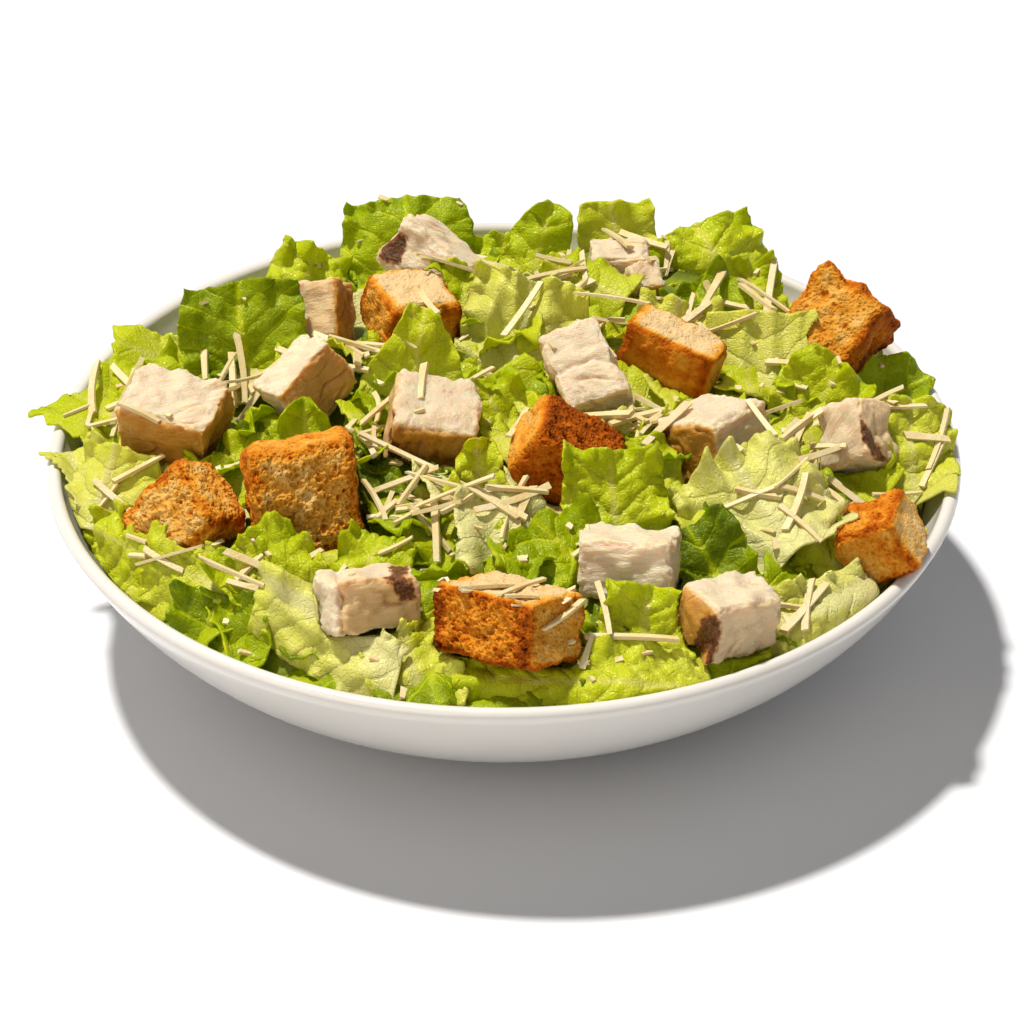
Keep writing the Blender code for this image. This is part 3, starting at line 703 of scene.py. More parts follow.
relief = {
    "crumples": ((1, 11, 13), (0.45, 5, 6)),  # share, mm across and along
    "folds": (7, 26),  # mm across and along
    "sway": (4.5, 13),  # how far the margin's waves shift, over so many mm
    "swell": (0.55, 0.9, 9),  # their least height, what comes on top, and over how many mm
    "ruffleLength": 9.0,  # mm
    "frillLength": 3.7,
    "frill": 0.36,  # of the ruffle's height
    "blisterSize": 3.7,  # mm
    "blisterWidth": 0.5,
    "smallBlisters": 2.3,  # times as fine
    "bulges": (0.78, 0.5),  # of the large and the small blisters
    "veinWidth": 0.6,
    "veinDepth": 0.45,
    "ribHeight": 0.30,
}


def bent(distance, whole, angle):
    if abs(angle) < 1e-4:
        return distance, 0.0
    radius = whole / angle
    return radius * math.sin(distance / radius), radius * (1 - math.cos(distance / radius))


def settled(leaf):
    own = kinds[leaf.kind]
    return replace(leaf, **{key: getattr(leaf, key) or own[key] for key in own})


def flatPlace(leaf, u, v, seed):
    # where a point of the square grid lies on the flat leaf, in mm
    width, length = leaf.size
    share = (v + 1) / 2
    half = width / 2 * lerp(leaf.near, leaf.far, share)
    if leaf.tip:
        half *= math.sqrt(max(outline["tipLeast"], 1 - share ** outline["tipPower"]))
    else:
        half *= 1 - outline["bluntness"] * v * v
    x, y = u * half, v * length / 2
    waver, (acrossSize, alongSize) = outline["waver"], outline["waverSizes"]
    x += waver * width * noise.noise(Vector((y / acrossSize, seed, 3.1)))
    y += waver * length * noise.noise(Vector((x / alongSize, seed, 7.7))) * abs(v)
    deep, broad, fine = outline["notches"]
    for side, closeness, along, way in (
        ("l", -u, y, (-1, 0)), ("r", u, y, (1, 0)), ("f", v, x, (0, 1)), ("n", -v, x, (0, -1)),
    ):
        if side in leaf.own and closeness > outline["toothFrom"]:
            spot = Vector((along / outline["toothSize"], seed * 1.7, ord(side)))
            notch = 1 - deep * abs(noise.noise(spot)) + broad * noise.noise(spot / 3)
            notch += fine * noise.noise(spot * 2.6)
            reach = leaf.teeth * smooth(outline["toothFrom"], 1.0, closeness) * notch
            x, y = x + way[0] * reach, y + way[1] * reach
    return x, y


def veinPlace(leaf, x, y, seed):
    # how much rib there is at a point, and its place in the rows of side veins
    sideways, apart = veins["wander"]
    ribX = leaf.ribAt * leaf.size[0] / 2 + sideways * noise.noise(Vector((y / apart, seed, 1.5)))
    off = abs(x - ribX)
    share = max(0.0, min(1.0, y / leaf.size[1] + 0.5))
    width = leaf.rib * lerp(*veins["ribWidths"], share)
    rib = math.exp(-((off / max(width, 0.1)) ** 2))
    row = (y - veins["slope"] * off + veins["curl"] * off * off) / leaf.spacing
    uneven, size = veins["uneven"]
    return rib, row + uneven * noise.noise(Vector((x / size, y / size, seed)))


def leafRelief(leaf, x, y, u, v, rib, row, seed):
    # how far the leaf's skin stands off its smooth bend, in mm
    rise = 0.0
    for k, (share, across, along) in enumerate(relief["crumples"]):
        rise += share * leaf.crumple * noise.noise(Vector((x / across, y / along, seed + 7 * k)))
    if leaf.fold:
        across, along = relief["folds"]
        crest = 0.5 - 2 * abs(noise.noise(Vector((x / across, y / along, seed + 3))))
        rise += leaf.fold * crest
    swaying, swayLength = relief["sway"]
    calm, livelier, swellLength = relief["swell"]
    for side, closeness, along in (("l", -u, y), ("r", u, y), ("f", v, x), ("n", -v, x)):
        if side in leaf.own and closeness > 0:
            sway = swaying * noise.noise(Vector((along / swayLength, seed, ord(side))))
            swell = abs(noise.noise(Vector((along / swellLength, seed + 4, ord(side)))))
            swell = calm + livelier * swell
            wave = math.sin(math.tau * along / relief["ruffleLength"] + seed + sway)
            frill = math.sin(math.tau * along / relief["frillLength"] + 2 * seed - 2 * sway)
            ruffle = closeness**3 * wave + relief["frill"] * closeness**6 * frill
            rise += leaf.ruffle * swell * ruffle
    size = relief["blisterSize"]
    near, second = noise.voronoi(Vector((x, y, seed)) / size)[0][:2]
    pillow = min(1.0, (second - near) / relief["blisterWidth"])
    pillow *= 2 - pillow
    small = noise.voronoi(Vector((x, y, seed + 5)) / size * relief["smallBlisters"])[0]
    vein = math.exp(-(((row % 1) - 0.5) * leaf.spacing / relief["veinWidth"]) ** 2)
    bulge = relief["bulges"][0] * pillow + relief["bulges"][1] * min(0.7, small[1] - small[0])
    rise += leaf.blister * bulge * (1 - 0.8 * rib) * (1 - 0.7 * vein)
    rise -= relief["veinDepth"] * vein * (1 - rib)
    rise += relief["ribHeight"] * leaf.rib * rib
    return rise, pillow


def layLeaf(bm, leaf, seed, cell, small):
    leaf = settled(leaf)
    flatLayer = bm.verts.layers.float_vector.get("flat")
    veinLayer = bm.verts.layers.float_vector.get("vein")
    toneLayer = bm.verts.layers.float_vector.get("tone")
    shift = random.Random(seed).uniform(0, 30)  # its own place in every noise
    width, length = (s * mm for s in leaf.size)
    turn = placing(leaf.facing, leaf.lean, leaf.roll)
    x0, y0 = (c * mm for c in leaf.at)
    centre = Vector((x0, y0, coreHeight(x0, y0) + leaf.lift * mm))
    across, along = (max(lettuce["fewest"], round(side / cell)) for side in leaf.size)
    made = bmesh.ops.create_grid(bm, x_segments=across, y_segments=along, size=1)["verts"]
    hang = math.inf
    for vert in made:
        u, v = vert.co.x, vert.co.y
        x, y = flatPlace(leaf, u, v, shift)
        rib, row = veinPlace(leaf, x, y, shift)
        rise, pillow = leafRelief(leaf, x, y, u, v, rib, row, shift)
        vert[flatLayer] = (x, y, shift)
        vert[veinLayer] = (rib, row, 0)
        vert[toneLayer] = (leaf.pale - lettuce["toneFall"] * v, pillow, 0)
        flatX, sideRise = bent(x * mm, width, math.radians(leaf.cup))
        flatY, endRise = bent(y * mm, length, math.radians(leaf.arch))
        local = Vector((flatX, flatY, sideRise + endRise + rise * mm))
        vert.co = centre + turn @ local
        hang = min(hang, vert.co.z - coreHeight(vert.co.x, vert.co.y))
    drop = max(0.0, hang + lettuce["sink"])
    if small:
        drop = max(drop, max(v.co.z - ceilingAt(v.co) for v in made))
    deepest = lettuce["deepest"] * (lettuce["underDeepest"] if small else 1)
    hidden = []
    for vert in made:
        place = pushOut(vert.co - Vector((0, 0, drop)), lettuce["pieceRoom"], deepest)
        if place is None:
            hidden.append(vert)
        vert.co = place or vert.co - Vector((0, 0, drop))
    overRim = not small and any(v.co.xy.length > rimInside and v.co.z > bowlHeight for v in made)
    for vert in made:
        vert.co = keepInBowl(vert.co, overRim)
    bmesh.ops.translate(bm, verts=made, vec=intoBox([v.co for v in made]))
    bmesh.ops.delete(bm, geom=hidden, context="VERTS")


def ceilingAt(point):
    # small leaves stay below the rim at the heap's edge, and may stand higher further in
    return bowlHeight - lettuce["edgeDrop"] + lettuce["edgeRise"] * (rimInside - point.xy.length)


def intoBox(points):
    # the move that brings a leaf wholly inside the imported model's box
    low, high = cadBox
    room = lettuce["boxRoom"]
    moves = []
    for axis in range(3):
        least = min(p[axis] for p in points) - low[axis] - room
        most = max(p[axis] for p in points) - high[axis] + room
        moves.append(max(0.0, -least) - max(0.0, most))
    return Vector(moves)


def keepInBowl(point, overRim):
    radius = point.xy.length
    if overRim:
        clear = bowlHeight + lettuce["rimRoom"] - lettuce["rimSlope"] * max(0.0, rimInside - radius)
        return Vector((point.x, point.y, max(point.z, clear)))
    most = innerRadius(point.z) - lettuce["wallRoom"]
    if radius > most:
        return Vector((point.x * most / radius, point.y * most / radius, point.z))
    return point


def leafSheet():
    bm = bmesh.new()
    for name in ("flat", "vein", "tone"):
        bm.verts.layers.float_vector.new(name)
    return bm


farLeaf = {
    "seed": 3,
    "count": 13,
    "angles": (14, 166),  # degrees round the bowl, behind its middle
    "out": (72, 86),  # mm
    "kinds": ("dark", "green", "green", "pale"),
    "widths": (20, 27),
    "lengths": (17, 22),
    "lean": (22, 44),
    "roll": (-30, 30),
    "arch": (-30, 20),
    "cup": -30,
    "lift": 5,
}
underLeaf = {
    "seed": 11,
    "count": 150,
    "reach": 96,  # mm
    "apart": 9.5,
    "crowded": 0.02,  # share that may lie nearer to each other
    "kinds": ("dark", "dark", "green", "green", "pale"),
    "paintedShadeFrom": -58,  # nearer to the front than this they are all dark: painted shade under the overhanging leaves
    "sizes": (17, 27),
    "lean": (4, 40),
    "cup": (-70, 60),
    "arch": (-40, 40),
    "tones": (0.85, 1.3),
    "lift": (1.0, 4.5),
}


def roundSpot(out, angle):
    return out * math.cos(angle), out * math.sin(angle)


def farLeaves():
    rng = random.Random(farLeaf["seed"])
    made = []
    for k in range(farLeaf["count"]):
        angle = lerp(*farLeaf["angles"], k / (farLeaf["count"] - 1))
        at = roundSpot(rng.uniform(*farLeaf["out"]), math.radians(angle))
        kind = rng.choice(farLeaf["kinds"])
        size = (rng.uniform(*farLeaf["widths"]), rng.uniform(*farLeaf["lengths"]))
        lean, roll = rng.uniform(*farLeaf["lean"]), rng.uniform(*farLeaf["roll"])
        bend = {"cup": farLeaf["cup"], "arch": rng.uniform(*farLeaf["arch"])}
        made.append(Leaf(kind, at, farLeaf["lift"], size, angle, lean, roll, **bend))
    return made


def underLeaves():
    rng = random.Random(underLeaf["seed"])
    made, spots = [], []
    while len(made) < underLeaf["count"]:
        out = underLeaf["reach"] * math.sqrt(rng.random())
        spot = Vector(roundSpot(out, rng.uniform(0, math.tau)))
        if any((spot - other).length < underLeaf["apart"] for other in spots):
            if rng.random() > underLeaf["crowded"]:
                continue
        spots.append(spot)
        # dark leaves at the front are painted shade
        kind = rng.choice(underLeaf["kinds"] if spot.y > underLeaf["paintedShadeFrom"] else ("dark",))
        size = (rng.uniform(*underLeaf["sizes"]), rng.uniform(*underLeaf["sizes"]))
        facing, lean = rng.uniform(-180, 180), rng.uniform(*underLeaf["lean"])
        roll = rng.uniform(-180, 180)
        bend = {key: rng.uniform(*underLeaf[key]) for key in ("cup", "arch")}
        tone = kinds[kind]["pale"] * rng.uniform(*underLeaf["tones"])
        lift = rng.uniform(*underLeaf["lift"])
        made.append(Leaf(kind, tuple(spot), lift, size, facing, lean, roll, pale=tone, **bend))
    return made


def makeLeaves(name, leaves, firstSeed, material, small=False):
    bm = leafSheet()
    cell = lettuce["underCell" if small else "cell"]
    for k, leaf in enumerate(leaves):
        layLeaf(bm, leaf, firstSeed + k, cell, small)
    piece = finishMesh(bm, name, material)
    shell = piece.modifiers.new("thickness", "SOLIDIFY")
    shell.thickness = lettuce["thickness"]
    shell.offset = 0
    standFor(piece, ["lettuce_heap"])


greens = [
    (0.00, (0.074, 0.125, 0.001)),
    (0.16, (0.215, 0.305, 0.001)),
    (0.34, (0.455, 0.570, 0.001)),
    (0.52, (0.655, 0.725, 0.010)),
    (0.70, (0.755, 0.770, 0.092)),
    (0.86, (0.785, 0.770, 0.205)),
    (1.00, (0.810, 0.780, 0.345)),
]


def netOfVeins(flat, scale, width):
    place = {"Vector": flat, "Scale": scale}
    return 1 - flat.node("TexVoronoi", {"feature": "DISTANCE_TO_EDGE"}, place).step(0.0, width)


def lettuceMaterial():
    material, sheet = newMaterial("romaine")
    flat = attribute(sheet, "flat")
    vein = attribute(sheet, "vein")
    tone = attribute(sheet, "tone")
    rib = vein.part("X")
    row = vein.part("Y")
    rowSpot = row.math("ABSOLUTE", row.math("FRACT", row) - 0.5)
    sideVein = 1 - rowSpot.step(0.02, 0.075)
    network = netOfVeins(flat, 0.42, 0.085)
    fineNet = netOfVeins(flat, 1.2, 0.14)
    patch = flat.noise(0.10, 2)
    speckle = flat.noise(1.6, 3)
    pale = tone.part("X")
    veined = 1 - pale.step(0.25, 0.75)
    shade = 0.02 + pale + rib * 0.24 + sideVein * (0.04 + veined * 0.16)
    shade = shade + veined * (network * 0.05 + fineNet * 0.02)
    shade = shade + (patch - 0.5) * 0.26 + (speckle - 0.5) * 0.12 - (tone.part("Y") - 0.5) * 0.08
    colour = shade.ramp(greens)
    glow = (shade + 0.10).ramp([(p, (c[0] * 1.05, c[1] * 1.05, c[2] * 0.6)) for p, c in greens])
    height = network * -0.3 + fineNet * -0.2 + speckle * 0.9 + sideVein * -0.6
    skin = {
        "Base Color": colour,
        "Roughness": 0.15 + speckle * 0.26,
        "Specular IOR Level": 0.50,
        "Specular Tint": (1.0, 0.97, 0.50, 1),
        "Normal": bump(sheet, height, 0.00026, 1.0),
    }
    surface = sheet.node("BsdfPrincipled", {}, skin)
    light = sheet.node("BsdfTranslucent", {}, {"Color": glow})
    through = 0.48 - pale * 0.24
    setSurface(sheet, sheet.node("MixShader", {}, {0: through, 1: surface, 2: light}))
    return material


def coreMaterial():
    material, sheet = newMaterial("packed leaves")
    place = objectPlace(sheet)
    colour = place.noise(120, 4).ramp([(0.3, (0.06, 0.09, 0.002)), (0.7, (0.25, 0.30, 0.004))])
    rough = bump(sheet, place.noise(400, 3), 0.0006)
    skin = {"Base Color": colour, "Roughness": 0.5, "Normal": rough}
    setSkin(sheet, skin)
    return material


def makeCore(material):
    bm = bmesh.new()
    rings = heap["rings"]
    bmesh.ops.create_uvsphere(bm, u_segments=heap["segments"], v_segments=rings, radius=1)
    floor = floorTop + heap["gap"]
    for vert in bm.verts:
        x, y, z = vert.co
        flat = math.hypot(x, y)
        angle = math.degrees(math.atan2(flat, z))
        if flat < 1e-6:
            vert.co = (0, 0, coreHeight(0, 0) if z > 0 else floor)
            continue
        way = Vector((x / flat, y / flat, 0))
        if angle <= 90.5:  # the upper half, with its rim
            spot = way * coreRadius * angle / 90
            crinkle = heap["crinkle"] * noise.noise(spot / heap["crinkleSize"])
            height = coreHeight(spot.x, spot.y) - heap["lowered"] + crinkle
            vert.co = spot + Vector((0, 0, height))
        else:
            depth = (angle - 90) / (90 - 180 / rings)
            curve = math.sin(math.radians(90 * depth)) ** heap["wallCurve"]
            height = heap["edge"] + (floor - heap["edge"]) * curve
            vert.co = way * (innerRadius(height) - heap["gap"]) + Vector((0, 0, height))
    standFor(finishMesh(bm, "heapCore", material), ["lettuce_heap"])


romaine = lettuceMaterial()
makeCore(coreMaterial())
for k, kind in enumerate(kinds):
    large = [leaf for leaf in largeLeaves if leaf.kind == kind]
    makeLeaves(kind + "Leaves", large, 100 * (k + 1), romaine)
makeLeaves("farLeaves", farLeaves(), 400, romaine, small=True)
makeLeaves("underLeaves", underLeaves(), 500, romaine, small=True)
print("lettuce")


# croutons and chicken


def faceOf(item, side):
    # the local axis, and its sign, of the face that looks most towards a side
    want = Vector(sides[side]).normalized()
    turn = turnOf(item)
    axes = [(k, sign) for k in range(3) for sign in (-1, 1)]
    return max(axes, key=lambda a: a[1] * (turn.col[a[0]] @ want))


def chunkForm(item, roundOff):
    # the block's own rounding, corner shifts and dents, as a function of a point of a cube
    rng = random.Random(item.name)
    corners = {
        (a, b, c): Vector([rng.uniform(*chunk["cornerShift"]) for _ in range(3)])
        for a in (0, 1)
        for b in (0, 1)
        for c in (0, 1)
    }
    drift = Vector([rng.uniform(0, 40) for _ in range(3)])
    half = Vector([s * mm / 2 for s in item.size])
    radius = roundOff * min(half)

    def form(unit):
        place = [(c + 1) / 2 for c in unit]
        shift = Vector((0, 0, 0))
        for key, push in corners.items():
            shift += math.prod(s if k else 1 - s for s, k in zip(place, key)) * push
        point = Vector([c * (1 + s) * h for c, s, h in zip(unit, shift, half)])
        limit = [h - radius for h in half]
        inner = Vector([max(-m, min(m, p)) for m, p in zip(limit, point)])
        out = point - inner
        if out.length > radius:
            point = inner + out.normalized() * radius
        bumps = sum(share * noise.noise(point / size + drift) for size, share in chunk["dents"])
        point += point.normalized() * item.rough * mm * bumps
        return point, out.normalized() if out.length > 1e-9 else Vector((0, 0, 1))

    return form, drift


def blendFaces(browningAndPaintedShading, normal, default):
    # the faces' own toasting or browning, with their painted shading, mixed by how much a point's
    # normal is turned to each
    total = [0.0 for _ in default]
    weight = 1e-6
    for axis in range(3):
        for sign in (-1, 1):
            near = max(0.0, sign * normal[axis]) ** 4
            look = browningAndPaintedShading.get((axis, sign), default)
            total = [t + near * v for t, v in zip(total, look)]
            weight += near
    return [t / weight for t in total]


crouton = {
    "cell": 0.31,  # mm
    "pits": ((3.6, 0.42, 1.0, 0.4), (1.9, 0.50, 0.70, 0.6), (1.05, 0.52, 0.40, 1.0)),
    "pitWidths": (0.6, 0.4),  # the least, and how much more
    "pitSoftness": 0.35,
    "crag": ((3.4, 0.50), (1.5, 0.26)),  # size and height, mm
    "ridges": (1.3, 0.34),
    "warp": (1.3, 0.6),
    "patches": ((5.5, 0.16), (2.2, 0.12)),  # size, mm, and how much more toasted
    "edgeBand": (0.66, 0.97),  # of the way from the middle to an edge
    "default": (0.58, 0.7),
}


def makeCrouton(item, material):
    form, drift = chunkForm(item, chunk["roundOff"])
    # painted shading per face, mixed with the real toast
    browningAndPaintedShading = {faceOf(item, side): (toastAndPaintedShading, pores) for side, toastAndPaintedShading, pores in item.browningAndPaintedShading}
    turn = turnOf(item)
    cuts = round(max(item.size) / crouton["cell"])
    bm = bmesh.new()
    layer = bm.verts.layers.float_vector.new("bake")
    bmesh.ops.create_cube(bm, size=2)
    bmesh.ops.subdivide_edges(bm, edges=bm.edges[:], cuts=cuts, use_grid_fill=True)
    for vert in bm.verts:
        unit = vert.co.copy()
        point, normal = form(unit)
        toastAndPaintedShading, pores = blendFaces(browningAndPaintedShading, normal, crouton["default"])
        spot = point / mm + drift
        size, pull = crouton["warp"]
        spot += pull * noise.noise_vector(spot / size)
        edge = smooth(*crouton["edgeBand"], sorted(abs(c) for c in unit)[1])
        depth = 0.0
        for size, share, deep, often in crouton["pits"]:  # mm, share of a cell, mm, share of cells
            reach, cells = noise.voronoi(spot / size)
            luck = 0.5 + 0.5 * noise.cell(cells[0] * 7.3)
            if luck < often:
                least, more = crouton["pitWidths"]
                width = share * (least + more * luck / often)
                depth += deep * (1 - smooth(crouton["pitSoftness"] * width, width, reach[0]))
        rough = sum(high * noise.noise(spot / size) for size, high in crouton["crag"])
        size, high = crouton["ridges"]
        rough += high * (0.4 - 2 * abs(noise.noise(spot / size))) * pores
        lift = rough * (0.5 + 0.6 * pores) - depth * (0.10 + 0.90 * pores)
        point += normal * lift * mm
        patch = sum(noise.noise(spot / size) * more for size, more in crouton["patches"])
        # the first value carries the faces' painted shading; the second, the pits' depth, is used
        # for painted shade in the pits
        vert[layer] = (toastAndPaintedShading + item.edge * edge + patch, min(1.0, depth * (0.3 + pores)), pores)
        vert.co = turn @ point + Vector(item.centre) * mm
    piece = finishMesh(bm, "toasted_" + item.name, material)
    standFor(piece, [item.name])


toasts = [
    (0.00, (0.720, 0.510, 0.260)),
    (0.14, (0.730, 0.430, 0.120)),
    (0.30, (0.700, 0.320, 0.040)),
    (0.46, (0.620, 0.210, 0.012)),
    (0.62, (0.480, 0.112, 0.004)),
    (0.76, (0.340, 0.068, 0.002)),
    (0.88, (0.200, 0.036, 0.001)),
    (1.00, (0.110, 0.018, 0.001)),
]


def croutonMaterial():
    material, sheet = newMaterial("toasted bread")
    place = objectPlace(sheet)
    bake = attribute(sheet, "bake")
    warp = place.noise(700, 2, out=1).scaled((0.0008, 0.0008, 0.0008))
    spots = {"Vector": place.moved(warp), "Scale": 1250.0}
    cell = 1 - place.node("TexVoronoi", {"feature": "F1"}, spots).step(0.10, 0.62)
    grainy = place.noise(1900, 3, 0.6)
    blotch = place.noise(420, 3, 0.6)
    spongy = bake.part("Z")
    toastAndPaintedShading = bake.part("X") - 0.10 + (blotch - 0.5) * 0.42 + (grainy - 0.5) * 0.24
    # pits and the bumped-in pores are painted darker: painted shade in the hollows
    toastAndPaintedShading = toastAndPaintedShading + bake.part("Y") * 0.20 + cell * spongy * 0.10 - 0.04
    height = grainy * 0.55 - cell * (0.25 + spongy * 0.6) + blotch * 0.6
    skin = {
        "Base Color": toastAndPaintedShading.ramp(toasts),
        "Roughness": 0.66 + grainy * 0.2,
        "Specular IOR Level": 0.16,
        "Specular Tint": (1.0, 0.75, 0.40, 1),
        "Normal": bump(sheet, height, 0.00040, 1.0),
    }
    setSkin(sheet, skin)
    return material


meat = {
    "cell": 0.40,  # mm
    "roundOff": 0.34,
    "streaks": ((2.4, 0.24), (1.0, 0.18)),  # size across the fibres and height, mm
    "stretch": 0.20,
    "crackSize": 5.0,
    "crackDepth": 0.9,
    "crackNarrowness": 9,
    "crackPatches": 9,  # mm
    "lumps": (5.0, 0.6),
    "fray": ((3.2, 0.8), (1.2, 0.5)),
    "edgeBand": (0.72, 0.98),
    "creaseWidth": 0.7,
    "creaseWander": (4, 1.6),
    "charDepth": 0.25,
    "default": (0.10,),
}
grill = {
    "wobble": ((2.4, 0.8), (1.0, 0.6)),  # size and reach, mm
    "softness": 1.2,  # mm at a mark's ends
    "sides": (1.0, 1.2),  # mm inside and outside its sides
    "facing": (0.35, 0.75),
    "upward": 0.75,  # a face that looks up more than this is marked from front to back
}


def grainTurn(direction):
    return Vector(direction).to_track_quat("Z", "Y").to_matrix().transposed()


def markAt(marks, spot, normal):
    # how charred a point is by the grill's bars
    worst = 0.0
    soft, (inner, outer) = grill["softness"], grill["sides"]
    for axis, sign, across, up, place, slant, width, low, high in marks:
        facing = max(0.0, sign * normal[axis])
        h, v = spot.dot(across), spot.dot(up)
        off = abs((h - place) * math.cos(slant) + v * math.sin(slant))
        wobble = sum(reach * noise.noise(spot / size) for size, reach in grill["wobble"])
        inside = 1 - smooth(width / 2 - inner, width / 2 + outer, off + wobble)
        inside *= smooth(low - soft, low + soft, v + wobble)
        inside *= 1 - smooth(high - soft, high + soft, v + wobble)
        worst = max(worst, inside * smooth(*grill["facing"], facing))
    return worst


def readMarks(item):
    turn = turnOf(item)
    found = []
    for side, place, slant, width, low, high in item.marks:
        axis, sign = faceOf(item, side)
        out = turn.col[axis] * sign
        across = Vector((-out.y, out.x, 0)).normalized()
        up = out.cross(across).normalized()
        up = up if up.z > 0 else -up
        if out.z > grill["upward"]:
            across, up = Vector((1, 0, 0)), Vector((0, 1, 0))
        found.append((axis, sign, across, up, place, math.radians(slant), width, low, high))
    return found


def makeChicken(item, material):
    form, drift = chunkForm(item, meat["roundOff"])
    # painted shading per face, mixed with the real browning
    browningAndPaintedShading = {faceOf(item, side): (brownAndPaintedShading,) for side, brownAndPaintedShading in item.browningAndPaintedShading}
    marks = readMarks(item)
    turn, grain = turnOf(item), grainTurn(item.grain)
    cuts = round(max(item.size) / meat["cell"])
    bm = bmesh.new()
    cookAndPaintedShadingLayer = bm.verts.layers.float_vector.new("cook")
    grainLayer = bm.verts.layers.float_vector.new("grain")
    bmesh.ops.create_cube(bm, size=2)
    bmesh.ops.subdivide_edges(bm, edges=bm.edges[:], cuts=cuts, use_grid_fill=True)
    for vert in bm.verts:
        edge = smooth(*meat["edgeBand"], sorted(abs(c) for c in vert.co)[1])
        point, normal = form(vert.co)
        brownAndPaintedShading = blendFaces(browningAndPaintedShading, normal, meat["default"])[0]
        spot = turn @ point / mm
        along = grain @ spot + drift
        thin = Vector((along.x, along.y, along.z * meat["stretch"]))
        height = sum(high * noise.noise(thin / size) for size, high in meat["streaks"])
        height += meat["lumps"][1] * noise.noise(spot / meat["lumps"][0] + drift)
        height += edge * sum(h * (noise.noise(spot / s + drift) - 0.15) for s, h in meat["fray"])
        crack = abs(noise.noise(thin / meat["crackSize"] + drift))
        crack = max(0.0, 1 - crack * meat["crackNarrowness"])
        crack *= smooth(0.0, 0.4, noise.noise(along / meat["crackPatches"] - drift))
        size, wander = meat["creaseWander"]
        for way, place, deep in item.creases:
            off = spot.dot(Vector(way).normalized()) - place
            off += wander * noise.noise(spot / size + drift)
            height -= deep * math.exp(-((off / meat["creaseWidth"]) ** 2))
        charred = markAt(marks, spot, normal)
        lift = height - meat["crackDepth"] * crack - meat["charDepth"] * charred
        point += normal * lift * mm
        # the first value carries the faces' painted shading, and the crack depth is used for
        # painted shade in the grooves
        vert[cookAndPaintedShadingLayer] = (brownAndPaintedShading, charred, crack)
        vert[grainLayer] = along
        vert.co = turn @ point + Vector(item.centre) * mm
    piece = finishMesh(bm, "grilled_" + item.name, material)
    standFor(piece, [item.name])


def chickenMaterial():
    material, sheet = newMaterial("grilled chicken")
    cook = attribute(sheet, "cook")
    grain = attribute(sheet, "grain")
    streak = grain.scaled((1.0, 1.0, 0.14)).noise(0.95, 4, 0.6)
    fine = grain.scaled((1.0, 1.0, 0.30)).noise(2.8, 3, 0.6)
    blush = grain.noise(0.20, 2)
    # cracks are painted browner: painted shade in the grooves, on top of the faces' painted shading
    brownAndPaintedShading = cook.part("X") + (streak - 0.5) * 0.22 + (blush - 0.5) * 0.20 + cook.part("Z") * 0.16
    brownAndPaintedShading = brownAndPaintedShading + (fine - 0.5) * 0.14
    # the palest stop, below where the tops sit at 0.2, is painted light: it makes some shaded faces
    # paler
    flesh = (brownAndPaintedShading * 0.8 + 0.2).ramp([
        (0.00, (0.860, 0.725, 0.530)),
        (0.20, (0.730, 0.615, 0.440)),
        (0.40, (0.710, 0.515, 0.280)),
        (0.60, (0.620, 0.370, 0.115)),
        (0.80, (0.560, 0.270, 0.034)),
        (1.00, (0.400, 0.180, 0.010)),
    ])
    pink = (blush + streak * 0.4).step(0.62, 0.86) * 0.10
    flesh = flesh.mix((0.70, 0.44, 0.31, 1), pink)
    burnt = cook.part("Y")
    specks = grain.noise(1.5, 4, 0.7)
    scorch = (burnt + (streak - 0.5) * 0.6).step(0.05, 0.55)
    flesh = flesh.mix((0.46, 0.19, 0.040, 1), scorch * 0.8)
    char = (burnt + (specks - 0.5) * 1.7).step(0.42, 0.72)
    flesh = flesh.mix((0.150, 0.045, 0.010, 1), char * 0.92)
    blackest = (burnt + (specks - 0.5) * 2.4).step(0.86, 1.18)
    flesh = flesh.mix((0.040, 0.014, 0.005, 1), blackest * 0.9)
    height = streak * 1.0 + fine * 0.7 + char * -0.4
    skin = {
        "Base Color": flesh,
        "Roughness": 0.27 + streak * 0.24,
        "Specular IOR Level": 0.40,
        "Specular Tint": (1.0, 0.92, 0.72, 1),
        "Normal": bump(sheet, height, 0.00048, 1.0),
        "Subsurface Weight": 0.65,
        "Subsurface Radius": (1.0, 0.45, 0.16),
        "Subsurface Scale": 0.0040,
    }
    setSkin(sheet, skin)
    return material


bread = croutonMaterial()
for item in croutons:
    makeCrouton(item, bread)
print("croutons")
flesh = chickenMaterial()
for item in chicken:
    makeChicken(item, flesh)
print("chicken")


# shreds and crumbs of cheese

